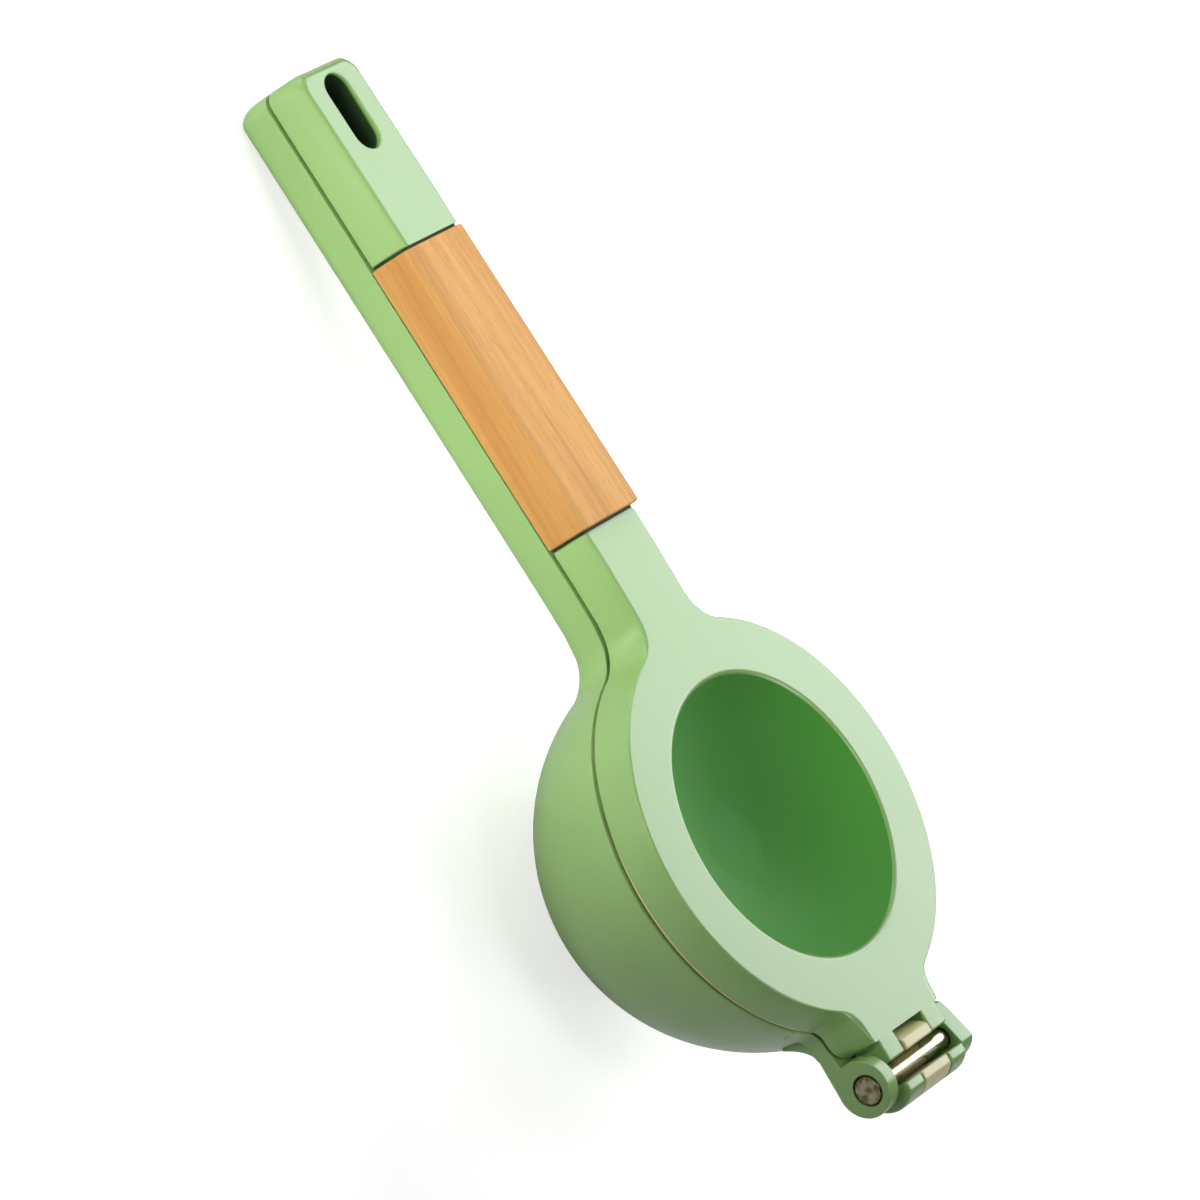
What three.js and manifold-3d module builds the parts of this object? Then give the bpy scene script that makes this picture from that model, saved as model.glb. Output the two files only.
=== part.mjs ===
// Hand citrus juicer: two hinged arms, a strainer cup between them, a hinge pin and a wood grip.
// Millimetres and degrees. The arms are drawn closed with the ring's flat top at z = 0, the bowl's axis on Z,
// the hinge towards +X and the handles towards -X. The last lines lay the closed juicer on a table.
import * as THREE from 'three';
import { mergeVertices } from 'three/addons/utils/BufferGeometryUtils.js';
import Module from 'manifold-3d';

const wasm = await Module();
wasm.setup();

// Bowl and strainer cup
const bowlRadius = 44;
const bowlWall = 2.6;
const drainHoleRadius = 2.5;
const drainHoleSpacing = 10.5;
const cupWall = 1.6;
const cupGap = 0.5;
const cupHoleRadius = 1.9;
const cupHoleSpacing = 8.5;
const holeRings = 2;
const flangeThickness = 0.9;
const flangeInset = 0.5;

// Press ring and its dish
const ringThickness = 7;
const ringShoulder = 1.7;
const dishMouthRadius = 30.5;
const dishLip = 1.5;
const dishLipEase = 0.5;
const dishDepth = 14.4;
const dishFloorRadius = 8.3;
const dishWall = 3;

// Handles
const neckLength = 16;
const handleLength = 131;
const handleHalfWidth = 12;
const handleShoulder = 3.65;
const handleRise = 1.7;
const handleDroop = 1.2;
const handleCorner = 3.5;
const pressEndEase = 1.5;
const bowlHandleThickness = 9.4;
const bowlHandleEdge = 3.5;
const neckTopFillet = 12;
const neckSeamFillet = 5;
const neckUnderFillet = 10;
const neckKeelFillet = 1;
const hangSlotLength = 17.4;
const hangSlotWidth = 7.4;
const hangSlotMargin = 2.6;
const pocketCells = 4;
const pocketSideWall = 3.2;
const pocketFloor = 3.4;
const pocketRib = 2.4;
const pocketCorner = 2.5;
const pocketMargin = 4;

// Wood grip, the tang under it and its screws
const gripOffset = 23.8;
const gripLength = 66.8;
const gripProud = 0.6;
const gripShoulder = 2.6;
const gripEndGap = 0.5;
const tangHalfWidth = 6.5;
const tangHeight = 5;
const screwRadius = 1.5;
const screwHeadRadius = 3;
const screwLength = 7.4;
const screwInset = 16;

// Hinge
const pinOffset = 10.8;
const pinDrop = 4.8;
const pinRadius = 2.1;
const pinHeadRadius = 3.1;
const pinHeadThickness = 1.2;
const pinDome = 0.3;
const pinDomeRadius = 1.9;
const hookRadius = 6.5;
const hookCrest = 0.4;
const hookGap = 0.45;
const hookSideGap = 0.4;
const cupHookHalfWidth = 5.1;
const cupHookThickness = 3;
const pressHookWidth = 5.9;
const hingeTabHalfWidth = 12.4;
const hingeTabTopFillet = 9;
const hingeTabSeamFillet = 7;
const hingeWebFillet = 3.5;
const hingeSwingGap = 0.8;
const earRadius = 5.75;
const earThickness = 3.8;
const earDrop = 2;
const webGap = 0.9;
const webThickness = 4.4;

// Clearances between pieces that touch
const seamGap = 0.3;
const seatGap = 0.3;

// Facets
const roundSegments = 56;
const cupSegments = 40;
const arcSteps = 8;
const holeSegments = 8;
const discSegments = 28;
const pinSegments = 20;
const screwSegments = 16;
const neckSteps = 6;
const edgeSteps = 4;
const overcut = 5;

// Levels and places worked out from the sizes above
const ringBottom = -ringThickness;
const flangeTop = ringBottom - seamGap;
const flangeBottom = flangeTop - flangeThickness;
const rimLevel = flangeBottom - seamGap;
const pressHandleThickness = -flangeBottom;
const ringTopRadius = bowlRadius - ringShoulder;
const flangeRadius = bowlRadius - flangeInset;
const bowlInnerRadius = bowlRadius - bowlWall;
const cupRadius = bowlInnerRadius - cupGap;
const cupInnerRadius = cupRadius - cupWall;
const handleStart = -(bowlRadius + neckLength);
const handleEnd = -(bowlRadius + handleLength);
const handleTopHalfWidth = handleHalfWidth - handleShoulder;
const slotCentre = handleEnd + hangSlotMargin + hangSlotLength / 2;
const gripFront = -(bowlRadius + gripOffset);
const gripRear = gripFront - gripLength;
const screwPlaces = { front: gripFront - screwInset, rear: gripRear + screwInset };
const pinX = bowlRadius + pinOffset;
const pinZ = -pinDrop;
const pressHookInner = cupHookHalfWidth + hookSideGap;
const pressHookOuter = pressHookInner + pressHookWidth;
const hingeTabEnd = pinX - hookRadius - hingeSwingGap;
const earInner = hingeTabHalfWidth + hookSideGap;
const earOuter = earInner + earThickness;
const webEnd = hingeTabEnd - hingeSwingGap;
const webTop = ringBottom - webGap;

// A flank falls from the flat top to the seam: shares of its inset and of its height, from the seam up
const flankSteps = [[0, 0], [0.2, 0.42], [0.5, 0.78], [0.72, 0.94], [1, 1]];

// Solids from three.js geometry
function solidOf(geometry) {
  geometry.deleteAttribute('normal');
  geometry.deleteAttribute('uv');
  const merged = mergeVertices(geometry, 1e-4);
  const index = merged.getIndex().array;
  const triangles = [];
  for (let i = 0; i < index.length; i += 3) {
    const [a, b, c] = [index[i], index[i + 1], index[i + 2]];
    if (a !== b && b !== c && c !== a) triangles.push(a, b, c);
  }
  const vertProperties = new Float32Array(merged.getAttribute('position').array);
  const body = new wasm.Manifold(new wasm.Mesh({ numProp: 3, vertProperties, triVerts: new Uint32Array(triangles) }));
  if (body.volume() > 0) return body;
  const turned = new Uint32Array(triangles.reverse());
  return new wasm.Manifold(new wasm.Mesh({ numProp: 3, vertProperties, triVerts: turned }));
}

function geometryOf(body) {
  const mesh = body.getMesh();
  const geometry = new THREE.BufferGeometry();
  geometry.setAttribute('position', new THREE.BufferAttribute(new Float32Array(mesh.vertProperties), 3));
  geometry.setIndex(new THREE.BufferAttribute(new Uint32Array(mesh.triVerts), 1));
  geometry.computeVertexNormals();
  return geometry;
}

function joined(bodies) {
  return bodies.reduce((whole, body) => whole.add(body));
}

function without(body, cutters) {
  return cutters.reduce((rest, cutter) => rest.subtract(cutter), body);
}

// A profile of [radius, z] points turned about Z
function turned(profile, segments) {
  const points = profile.map(([radius, z]) => new THREE.Vector2(radius, z));
  return solidOf(new THREE.LatheGeometry(points, segments).rotateX(Math.PI / 2));
}

// A flat shape in X and Y, standing from one level to another
function standing(shape, low, high, curveSegments = holeSegments) {
  const options = { depth: high - low, bevelEnabled: false, curveSegments };
  return solidOf(new THREE.ExtrudeGeometry(shape, options).translate(0, 0, low));
}

// A side-view shape in X and Z, reaching across from one y to another
function across(shape, near, far, curveSegments = holeSegments) {
  const options = { depth: far - near, bevelEnabled: false, curveSegments };
  return solidOf(new THREE.ExtrudeGeometry(shape, options).rotateX(Math.PI / 2).translate(0, far, 0));
}

function rod(x, y, radius, low, high, segments = holeSegments) {
  const geometry = new THREE.CylinderGeometry(radius, radius, high - low, segments);
  return solidOf(geometry.rotateX(Math.PI / 2).translate(x, y, (low + high) / 2));
}

function block(lowX, highX, lowY, highY, lowZ, highZ) {
  const geometry = new THREE.BoxGeometry(highX - lowX, highY - lowY, highZ - lowZ);
  return solidOf(geometry.translate((lowX + highX) / 2, (lowY + highY) / 2, (lowZ + highZ) / 2));
}

// Sections with the same number of [y, z] points, set along X and skinned into one closed body
function loft(stations, sectionAt) {
  const sections = stations.map(sectionAt);
  const count = sections[0].length;
  const points = [];
  sections.forEach((section, s) => section.forEach(([y, z]) => points.push(new THREE.Vector3(stations[s], y, z))));
  const index = [];
  for (let s = 0; s + 1 < stations.length; s += 1) {
    for (let i = 0; i < count; i += 1) {
      const a = s * count + i;
      const b = s * count + ((i + 1) % count);
      index.push(a, b, b + count, a, b + count, a + count);
    }
  }
  const last = (stations.length - 1) * count;
  const flat = sections.map((section) => section.map(([y, z]) => new THREE.Vector2(y, z)));
  for (const [a, b, c] of THREE.ShapeUtils.triangulateShape(flat[0], [])) index.push(c, b, a);
  for (const [a, b, c] of THREE.ShapeUtils.triangulateShape(flat.at(-1), [])) index.push(last + a, last + b, last + c);
  const geometry = new THREE.BufferGeometry().setFromPoints(points).setIndex(index);
  return solidOf(geometry);
}

// Curves that more than one piece follows
function arc(radius, centreZ, fromAngle, toAngle, steps = arcSteps) {
  return Array.from({ length: steps + 1 }, (_, i) => {
    const angle = THREE.MathUtils.degToRad(fromAngle + ((toAngle - fromAngle) * i) / steps);
    return [Math.max(0, radius * Math.cos(angle)), centreZ + radius * Math.sin(angle)];
  });
}

// Half width of a neck that runs tangent from straight sides into a ring, by distance from the ring's axis
function neckHalfWidth(reach, half, radius, fillet) {
  const centreY = half + fillet;
  const centreX = Math.sqrt((radius + fillet) ** 2 - centreY ** 2);
  const share = radius / (radius + fillet);
  if (reach >= centreX) return half;
  if (reach <= centreX * share) return centreY * share;
  return centreY - Math.sqrt(fillet ** 2 - (reach - centreX) ** 2);
}

function neckReach(half, radius, fillet) {
  const far = Math.sqrt((radius + fillet) ** 2 - (half + fillet) ** 2);
  return { near: (far * radius) / (radius + fillet), far };
}

// The parting face between the two handles: it rises over the neck, then falls towards the handle's end
function partingLevel(x) {
  const rise = handleRise * THREE.MathUtils.smoothstep(-x, bowlRadius, -handleStart);
  const past = Math.max(0, handleStart - x);
  return flangeBottom + rise - past * Math.tan(THREE.MathUtils.degToRad(handleDroop));
}

function pressTopLevel(x) {
  return partingLevel(x) + pressHandleThickness;
}

// How much a rounded end takes off a side, by distance from the end
function easedBy(distance, radius) {
  if (distance >= radius) return 0;
  return radius - Math.sqrt(radius ** 2 - (radius - distance) ** 2);
}

function handleEndStations() {
  return [0.55, 0.2, 0.05, 0].map((share) => handleEnd + handleCorner * share);
}

function evenly(low, high, steps) {
  return Array.from({ length: steps }, (_, i) => THREE.MathUtils.lerp(low, high, i / steps));
}

// Places along a neck, from inside the ring out to where the neck ends
function neckStations(half, fillet, end) {
  const { near, far } = neckReach(half, bowlRadius, fillet);
  return [...evenly(near - fillet, far, neckSteps), ...evenly(far, end, neckSteps), end];
}

function handleStations() {
  return neckStations(handleHalfWidth, neckSeamFillet, -handleStart).map((reach) => -reach);
}

// Section with a flat top and eased flanks
function flankedSection(topHalf, seamHalf, bottom, top) {
  const flank = flankSteps.map(([inset, height]) => [
    THREE.MathUtils.lerp(seamHalf, topHalf, inset),
    THREE.MathUtils.lerp(bottom, top, height),
  ]);
  return [...flank, ...flank.map(([y, z]) => [-y, z]).reverse()];
}

function pressSection(x) {
  const corner = easedBy(x - handleEnd, handleCorner);
  const topHalf = neckHalfWidth(-x, handleTopHalfWidth, ringTopRadius, neckTopFillet) - corner;
  const seamHalf = neckHalfWidth(-x, handleHalfWidth, bowlRadius, neckSeamFillet) - corner;
  const top = pressTopLevel(x) - easedBy(x - handleEnd, pressEndEase);
  return flankedSection(topHalf, seamHalf, partingLevel(x), top);
}

function gripSection(x) {
  const top = pressTopLevel(x) + gripProud;
  return flankedSection(handleHalfWidth - gripShoulder, handleHalfWidth, partingLevel(x), top);
}

function tangSection(x, grown) {
  const half = tangHalfWidth + grown;
  const low = partingLevel(x) - (grown > 0 ? overcut : 0);
  const high = partingLevel(x) + tangHeight + grown;
  return [[half, low], [half, high], [-half, high], [-half, low]];
}

// The bowl arm's handle: flat on the parting face, rounded below, swelling into the bowl
function bowlHandleSection(x) {
  const corner = easedBy(x - handleEnd, handleCorner);
  const straightBottom = partingLevel(Math.min(x, handleStart)) - seamGap - bowlHandleThickness;
  const bottom = straightBottom + easedBy(x - handleEnd, bowlHandleEdge);
  const swell = neckSwell(x, straightBottom);
  const edge = arc(bowlHandleEdge, bottom + bowlHandleEdge, -90, 0, edgeSteps);
  const below = edge.map(([y, z], i) => [handleHalfWidth - bowlHandleEdge + y, z - swell * (1 - i / edgeSteps)]);
  const side = [...below, [handleHalfWidth, partingLevel(x) - seamGap]].map(([y, z], i) => {
    const bowlAtLevel = Math.sqrt(bowlRadius ** 2 - Math.min(0, z - rimLevel) ** 2);
    const fillet = THREE.MathUtils.lerp(neckKeelFillet, neckSeamFillet, Math.min(1, i / edgeSteps));
    return [neckHalfWidth(-x, y, bowlAtLevel, fillet) - corner, z];
  });
  return [...side, ...side.map(([y, z]) => [-y, z]).reverse()];
}

// How far the underside of the neck has dropped on its fillet into the bowl
function neckSwell(x, straightBottom) {
  const centreZ = straightBottom - neckUnderFillet;
  const centreX = -Math.sqrt((bowlRadius + neckUnderFillet) ** 2 - (centreZ - rimLevel) ** 2);
  const tangent = (-centreX * neckUnderFillet) / (bowlRadius + neckUnderFillet);
  const along = THREE.MathUtils.clamp(x - centreX, 0, tangent);
  return neckUnderFillet - Math.sqrt(neckUnderFillet ** 2 - along ** 2);
}

function slotShape(centreX, length, width) {
  const reach = (length - width) / 2;
  const shape = new THREE.Shape();
  shape.absarc(centreX + reach, 0, width / 2, -Math.PI / 2, Math.PI / 2);
  shape.absarc(centreX - reach, 0, width / 2, Math.PI / 2, (3 * Math.PI) / 2);
  return shape;
}

function hangSlot(low, high) {
  return standing(slotShape(slotCentre, hangSlotLength, hangSlotWidth), low, high);
}

// Rings of holes round the pole of a bowl: one in the middle, then 6, 12 and so on
function drainHoles(radius, spacing, low, high) {
  const holes = [rod(0, 0, radius, low, high)];
  for (let ring = 1; ring <= holeRings; ring += 1) {
    for (let i = 0; i < 6 * ring; i += 1) {
      const angle = (Math.PI * i) / (3 * ring);
      holes.push(rod(ring * spacing * Math.cos(angle), ring * spacing * Math.sin(angle), radius, low, high));
    }
  }
  return holes;
}

// Hinge: discs on the pin's axis, and the upright mouth that lets a hook drop on the pin
function pinDisc(radius, near, far, segments = discSegments) {
  const geometry = new THREE.CylinderGeometry(radius, radius, far - near, segments);
  return solidOf(geometry.translate(pinX, (near + far) / 2, pinZ));
}

function hookMouth(near, far) {
  const half = pinRadius + hookGap;
  const shape = new THREE.Shape();
  shape.moveTo(pinX + half, overcut);
  shape.lineTo(pinX - half, overcut);
  shape.absarc(pinX, pinZ, half, Math.PI, 2 * Math.PI);
  return across(shape, near - overcut, far + overcut);
}

// What the hooks lose above their crest
function aboveHooks() {
  const reach = hookRadius + overcut;
  return block(pinX - reach, pinX + reach, -earInner, earInner, hookCrest, hookCrest + reach);
}

function pressHook(side) {
  const [near, far] = side < 0 ? [-pressHookOuter, -pressHookInner] : [pressHookInner, pressHookOuter];
  const root = block(hingeTabEnd - overcut, pinX, near, far, ringBottom, 0);
  const hook = joined([pinDisc(hookRadius, near, far), root]);
  return without(hook, [hookMouth(near, far), aboveHooks()]);
}

function ear(side) {
  const [near, far] = side < 0 ? [-earOuter, -earInner] : [earInner, earOuter];
  const top = ringBottom - seamGap;
  const left = pinX - earRadius;
  const shape = new THREE.Shape();
  shape.moveTo(bowlInnerRadius, top);
  shape.lineTo(hingeTabEnd - hingeTabSeamFillet / 2, top);
  shape.quadraticCurveTo(left, top, left, pinZ + earRadius / 4);
  shape.lineTo(pinX, pinZ);
  shape.lineTo(pinX, pinZ - earRadius);
  shape.lineTo(bowlInnerRadius, pinZ - earRadius - earDrop);
  return joined([across(shape, near, far, 5), pinDisc(earRadius, near, far)]);
}

function pinSeats() {
  const shaft = pinDisc(pinRadius + seatGap, -earOuter - overcut, earOuter + overcut, pinSegments);
  const deep = pinHeadThickness + seatGap;
  const heads = [
    pinDisc(pinHeadRadius + seatGap, -earOuter - overcut, -earOuter + deep),
    pinDisc(pinHeadRadius + seatGap, earOuter - deep, earOuter + overcut),
  ];
  return [shaft, ...heads];
}

// Plan of the web that carries the ears: straight sides, running tangent into the bowl's rim
function hingeWeb() {
  const low = webTop - webThickness;
  return loft(neckStations(earOuter, hingeWebFillet, webEnd), (x) => {
    const half = neckHalfWidth(x, earOuter, bowlRadius, hingeWebFillet);
    return [[half, low], [half, webTop], [-half, webTop], [-half, low]];
  });
}

function cupHookChannel() {
  const half = cupHookHalfWidth + hookSideGap;
  const low = flangeTop - cupHookThickness - seamGap;
  return block(cupInnerRadius - overcut, pinX, -half, half, low, overcut);
}

// Press arm
function pressRing() {
  const rise = dishMouthRadius ** 2 - dishFloorRadius ** 2 + dishLip ** 2 - dishDepth ** 2;
  const centreZ = rise / (2 * (dishDepth - dishLip));
  const radius = Math.hypot(dishFloorRadius, centreZ + dishDepth);
  const angleAt = (r, level) => THREE.MathUtils.radToDeg(Math.atan2(level - centreZ, r));
  const dish = arc(radius, centreZ, angleAt(dishFloorRadius, -dishDepth), angleAt(dishMouthRadius, -dishLip), 7);
  const lip = [[dishMouthRadius + dishLipEase, -dishLipEase], [dishMouthRadius + dishLip, 0]];
  const flank = flankSteps.map(([inset, height]) => [bowlRadius - ringShoulder * inset, ringBottom * (1 - height)]);
  const domeRadius = radius + dishWall;
  const domeFoot = Math.sqrt(domeRadius ** 2 - (ringBottom - centreZ) ** 2);
  const domeFloor = Math.sqrt(domeRadius ** 2 - (dishDepth + dishWall + centreZ) ** 2);
  const dome = arc(domeRadius, centreZ, angleAt(domeFoot, ringBottom), angleAt(domeFloor, -dishDepth - dishWall), 7);
  const profile = [[0, -dishDepth], ...dish, ...lip, ...flank.reverse(), ...dome, [0, -dishDepth - dishWall]];
  return turned(profile, roundSegments);
}

function hingeTab() {
  return loft(neckStations(hingeTabHalfWidth, hingeTabSeamFillet, hingeTabEnd), (x) => {
    const topHalf = neckHalfWidth(x, hingeTabHalfWidth, ringTopRadius, hingeTabTopFillet);
    const seamHalf = neckHalfWidth(x, hingeTabHalfWidth, bowlRadius, hingeTabSeamFillet);
    return flankedSection(topHalf, seamHalf, ringBottom, 0);
  });
}

function cupHookNotch() {
  const half = cupHookHalfWidth + hookSideGap;
  const room = hookRadius + hookSideGap;
  return block(pinX - room, pinX + room, -half, half, -overcut * 3, overcut);
}

function pressArm() {
  const handle = loft([...handleStations(), gripFront, gripRear, ...handleEndStations()], pressSection);
  const gripSpace = block(gripRear, gripFront, -bowlRadius, bowlRadius, -bowlRadius, bowlRadius);
  const tang = loft([gripFront + overcut, gripRear - overcut], (x) => tangSection(x, 0));
  const arm = joined([pressRing(), without(handle, [gripSpace]), tang, hingeTab(), pressHook(-1), pressHook(1)]);
  const screwHoles = Object.values(screwPlaces).map((x) => screwBody(x, seatGap));
  return without(arm, [hangSlot(-bowlRadius, bowlRadius), cupHookNotch(), flangeSpace(), ...screwHoles]);
}

// Room for the cup's flange under the ring, where the neck is thicker than the ring
function flangeSpace() {
  const inner = dishMouthRadius + dishLip;
  const outer = flangeRadius + seamGap;
  const low = ringBottom - overcut;
  return turned([[inner, low], [outer, low], [outer, ringBottom], [inner, ringBottom], [inner, low]], roundSegments);
}

// Wood grip and its screws
function screwBody(x, grown) {
  const low = partingLevel(x) - (grown > 0 ? overcut : -seatGap);
  const foot = partingLevel(x) + seatGap;
  const head = screwHeadRadius + grown;
  const shank = screwRadius + grown;
  const tip = foot + screwLength + grown;
  const neck = foot + screwHeadRadius - screwRadius;
  const start = grown > 0 ? [[0, low], [head, low]] : [[0, foot]];
  const profile = [...start, [head, foot], [shank, neck], [shank, tip - screwRadius], [0, tip]];
  const points = profile.map(([radius, z]) => new THREE.Vector2(radius, z));
  return solidOf(new THREE.LatheGeometry(points, screwSegments).rotateX(Math.PI / 2).translate(x, 0, 0));
}

function woodGrip() {
  const stations = [gripFront - gripEndGap, gripRear + gripEndGap];
  const saddle = loft(stations, gripSection);
  const tang = loft([gripFront + overcut, gripRear - overcut], (x) => tangSection(x, seatGap));
  return without(saddle, [tang, ...Object.values(screwPlaces).map((x) => screwBody(x, seatGap))]);
}

// Bowl arm
function bowlShell() {
  const outer = arc(bowlRadius, rimLevel, -90, 0);
  const inner = arc(bowlInnerRadius, rimLevel, 0, -90);
  return turned([...outer, ...inner], roundSegments);
}

function bowlSpace() {
  const inner = arc(bowlInnerRadius, rimLevel, -90, 0);
  const seat = flangeRadius + seamGap;
  return turned([...inner, [seat, rimLevel], [seat, overcut], [0, overcut]], roundSegments);
}

// Cells cast into the hidden face of the handle, with ribs left between them
function handlePockets() {
  const front = handleStart - pocketMargin;
  const rear = slotCentre + hangSlotLength / 2 + pocketMargin;
  const cell = (front - rear - pocketRib * (pocketCells - 1)) / pocketCells;
  const half = handleHalfWidth - pocketSideWall;
  return Array.from({ length: pocketCells }, (_, i) => {
    const high = front - i * (cell + pocketRib);
    const floor = partingLevel(high) - seamGap - bowlHandleThickness + pocketFloor;
    return standing(roundedRectangle(high - cell, high, half, pocketCorner), floor, overcut, 4);
  });
}

function roundedRectangle(low, high, half, corner) {
  const shape = new THREE.Shape();
  shape.absarc(high - corner, half - corner, corner, 0, Math.PI / 2);
  shape.absarc(low + corner, half - corner, corner, Math.PI / 2, Math.PI);
  shape.absarc(low + corner, corner - half, corner, Math.PI, 1.5 * Math.PI);
  shape.absarc(high - corner, corner - half, corner, 1.5 * Math.PI, 2 * Math.PI);
  return shape;
}

function bowlArm() {
  const handle = loft([...handleStations(), ...handleEndStations()], bowlHandleSection);
  const arm = joined([bowlShell(), handle, hingeWeb(), ear(-1), ear(1)]);
  const holes = drainHoles(drainHoleRadius, drainHoleSpacing, rimLevel - 2 * bowlRadius, rimLevel - bowlRadius / 2);
  const cuts = [bowlSpace(), cupHookChannel(), hangSlot(-bowlRadius, bowlRadius), ...handlePockets()];
  return without(arm, [...cuts, ...pinSeats(), ...holes]);
}

// Strainer cup
function strainerCup() {
  const outer = arc(cupRadius, rimLevel, -90, 0);
  const inner = arc(cupInnerRadius, rimLevel, 0, -90);
  const flange = [[cupRadius, flangeBottom], [flangeRadius, flangeBottom], [flangeRadius, flangeTop]];
  const shell = turned([...outer, ...flange, [cupInnerRadius, flangeTop], ...inner], cupSegments);
  const half = cupHookHalfWidth;
  const lug = block(cupInnerRadius, pinX, -half, half, flangeTop - cupHookThickness, flangeTop);
  const hook = without(joined([pinDisc(hookRadius, -half, half), lug]), [hookMouth(-half, half), aboveHooks()]);
  const space = turned([...arc(cupInnerRadius, rimLevel, -90, 0), [cupInnerRadius, overcut], [0, overcut]], cupSegments);
  const holes = drainHoles(cupHoleRadius, cupHoleSpacing, rimLevel - 2 * bowlRadius, rimLevel - bowlRadius / 2);
  return without(joined([shell, hook]), [space, ...holes]);
}

// Hinge pin: a shaft with a low domed head at each end
function hingePin() {
  const headStart = earOuter - pinHeadThickness;
  const half = [
    [pinRadius, headStart],
    [pinHeadRadius, headStart],
    [pinHeadRadius, earOuter],
    [pinDomeRadius, earOuter + pinDome],
    [0, earOuter + pinDome],
  ];
  const profile = [...half.map(([radius, y]) => [radius, -y]).reverse(), ...half];
  const points = profile.map(([radius, y]) => new THREE.Vector2(radius, y));
  return solidOf(new THREE.LatheGeometry(points, pinSegments).translate(pinX, 0, pinZ));
}

// Finishes
function finish(color, roughness, metalness) {
  return new THREE.MeshStandardMaterial({ color, roughness, metalness });
}

const greenPaint = finish('#a9cb93', 0.35, 0);
const creamEnamel = finish('#e0d9ac', 0.4, 0);
const brightSteel = finish('#c9c8c0', 0.25, 1);
const beech = finish('#e5b06e', 0.55, 0);

const juicer = new THREE.Group();

function place(name, body, material) {
  const mesh = new THREE.Mesh(geometryOf(body), material);
  mesh.name = name;
  juicer.add(mesh);
}

place('bowl_arm', bowlArm(), greenPaint);
place('hinge_pin', hingePin(), brightSteel);
place('strainer_cup', strainerCup(), creamEnamel);
place('press_arm', pressArm(), greenPaint);
place('wood_grip', woodGrip(), beech);
for (const [end, x] of Object.entries(screwPlaces)) place(`grip_screw_${end}`, screwBody(x, 0), brightSteel);

// Laid on a table the juicer rests on its bowl and on the end of its lower handle
function restTilt() {
  const footX = handleEnd + bowlHandleEdge;
  const footZ = partingLevel(handleEnd) - seamGap - bowlHandleThickness + bowlHandleEdge;
  const run = Math.hypot(footX, rimLevel - footZ);
  return Math.asin((bowlRadius - bowlHandleEdge) / run) - Math.atan2(rimLevel - footZ, -footX);
}

juicer.rotation.y = -restTilt();
juicer.updateMatrixWorld(true);
const box = new THREE.Box3().setFromObject(juicer, true);
juicer.position.set(-(box.min.x + box.max.x) / 2, -(box.min.y + box.max.y) / 2, -box.min.z);
juicer.updateMatrixWorld(true);

export default juicer;
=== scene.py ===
import math

import bmesh
import bpy
from bpy.props import FloatProperty, FloatVectorProperty, IntProperty, PointerProperty
from mathutils import Matrix, Vector


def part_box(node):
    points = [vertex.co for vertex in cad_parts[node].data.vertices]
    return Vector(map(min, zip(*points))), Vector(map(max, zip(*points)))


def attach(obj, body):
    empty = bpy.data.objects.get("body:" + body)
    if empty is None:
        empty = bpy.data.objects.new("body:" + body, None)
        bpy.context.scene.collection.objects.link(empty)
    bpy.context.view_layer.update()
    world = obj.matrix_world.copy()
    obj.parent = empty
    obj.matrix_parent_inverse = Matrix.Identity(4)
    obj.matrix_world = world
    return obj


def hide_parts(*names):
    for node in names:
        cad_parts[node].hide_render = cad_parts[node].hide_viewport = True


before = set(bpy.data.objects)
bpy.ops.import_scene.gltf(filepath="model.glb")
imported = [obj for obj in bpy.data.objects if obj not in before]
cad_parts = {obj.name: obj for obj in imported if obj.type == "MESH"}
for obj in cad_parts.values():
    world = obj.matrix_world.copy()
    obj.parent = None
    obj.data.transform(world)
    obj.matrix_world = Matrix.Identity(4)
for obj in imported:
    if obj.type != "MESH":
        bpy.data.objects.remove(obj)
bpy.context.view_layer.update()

bl_info = {
    "name": "Hand Citrus Juicer",
    "version": (1, 0, 0),
    "blender": (4, 5, 0),
    "location": "View3D > Sidebar > Juicer",
    "description": "Dresses the solids of a hand citrus juicer: painted arms, cup, pin and wood grip",
    "category": "Object",
}

# Lengths below are millimetres in the drawing's frame: ring top at z = 0, bowl axis on Z, hinge at +X.
MM = 0.001
MERGE = 1e-3

# Levels and places that the solids give
RING_BOTTOM = -7.0
SEAM_GAP = 0.3
FLANGE_THICKNESS = 0.9
FLANGE_TOP = RING_BOTTOM - SEAM_GAP
FLANGE_BOTTOM = FLANGE_TOP - FLANGE_THICKNESS
RIM_LEVEL = FLANGE_BOTTOM - SEAM_GAP
FLANGE_RADIUS = 43.4
FLANGE_SHIFT = 0.35
HANDLE_START = -60.0
HANDLE_END = -175.0
HANDLE_RISE = 1.7
HANDLE_DROOP = math.tan(math.radians(1.2))
HANDLE_HALF = 12.0
HANDLE_TOP_HALF = 8.35
PRESS_THICKNESS = 8.2
BOWL_HANDLE_THICKNESS = 9.4
BOWL_HANDLE_EDGE = 3.5
GRIP_FRONT = -67.8
GRIP_REAR = -134.6
GRIP_END_GAP = 0.6
TANG_HALF = 6.5
TANG_HEIGHT = 5.0
SCREW_PLACES = {"front": -83.8, "rear": -118.6}
SLOT_CENTRE = -163.7
SLOT_LENGTH = 17.4
SLOT_WIDTH = 7.4
PIN = Vector((54.8, 0.0, -4.8))
PIN_RADIUS = 2.1
PIN_HEAD_RADIUS = 3.1
PIN_FAR_HEAD = 2.5
PIN_ROOM = 0.3
HOOK_MOUTH = 2.55
HOOK_RADIUS = 6.9
HOOK_CREST = 0.4
EAR_CENTRE = (54.2, -5.8)
EAR_RADIUS = 6.1
EAR_INNER = 12.8
EAR_OUTER = 16.6
EAR_ROUND = 0.7
PRESS_HOOK_ROUND = 0.45
CUP_HOOK_ROUND = 0.4
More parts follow.
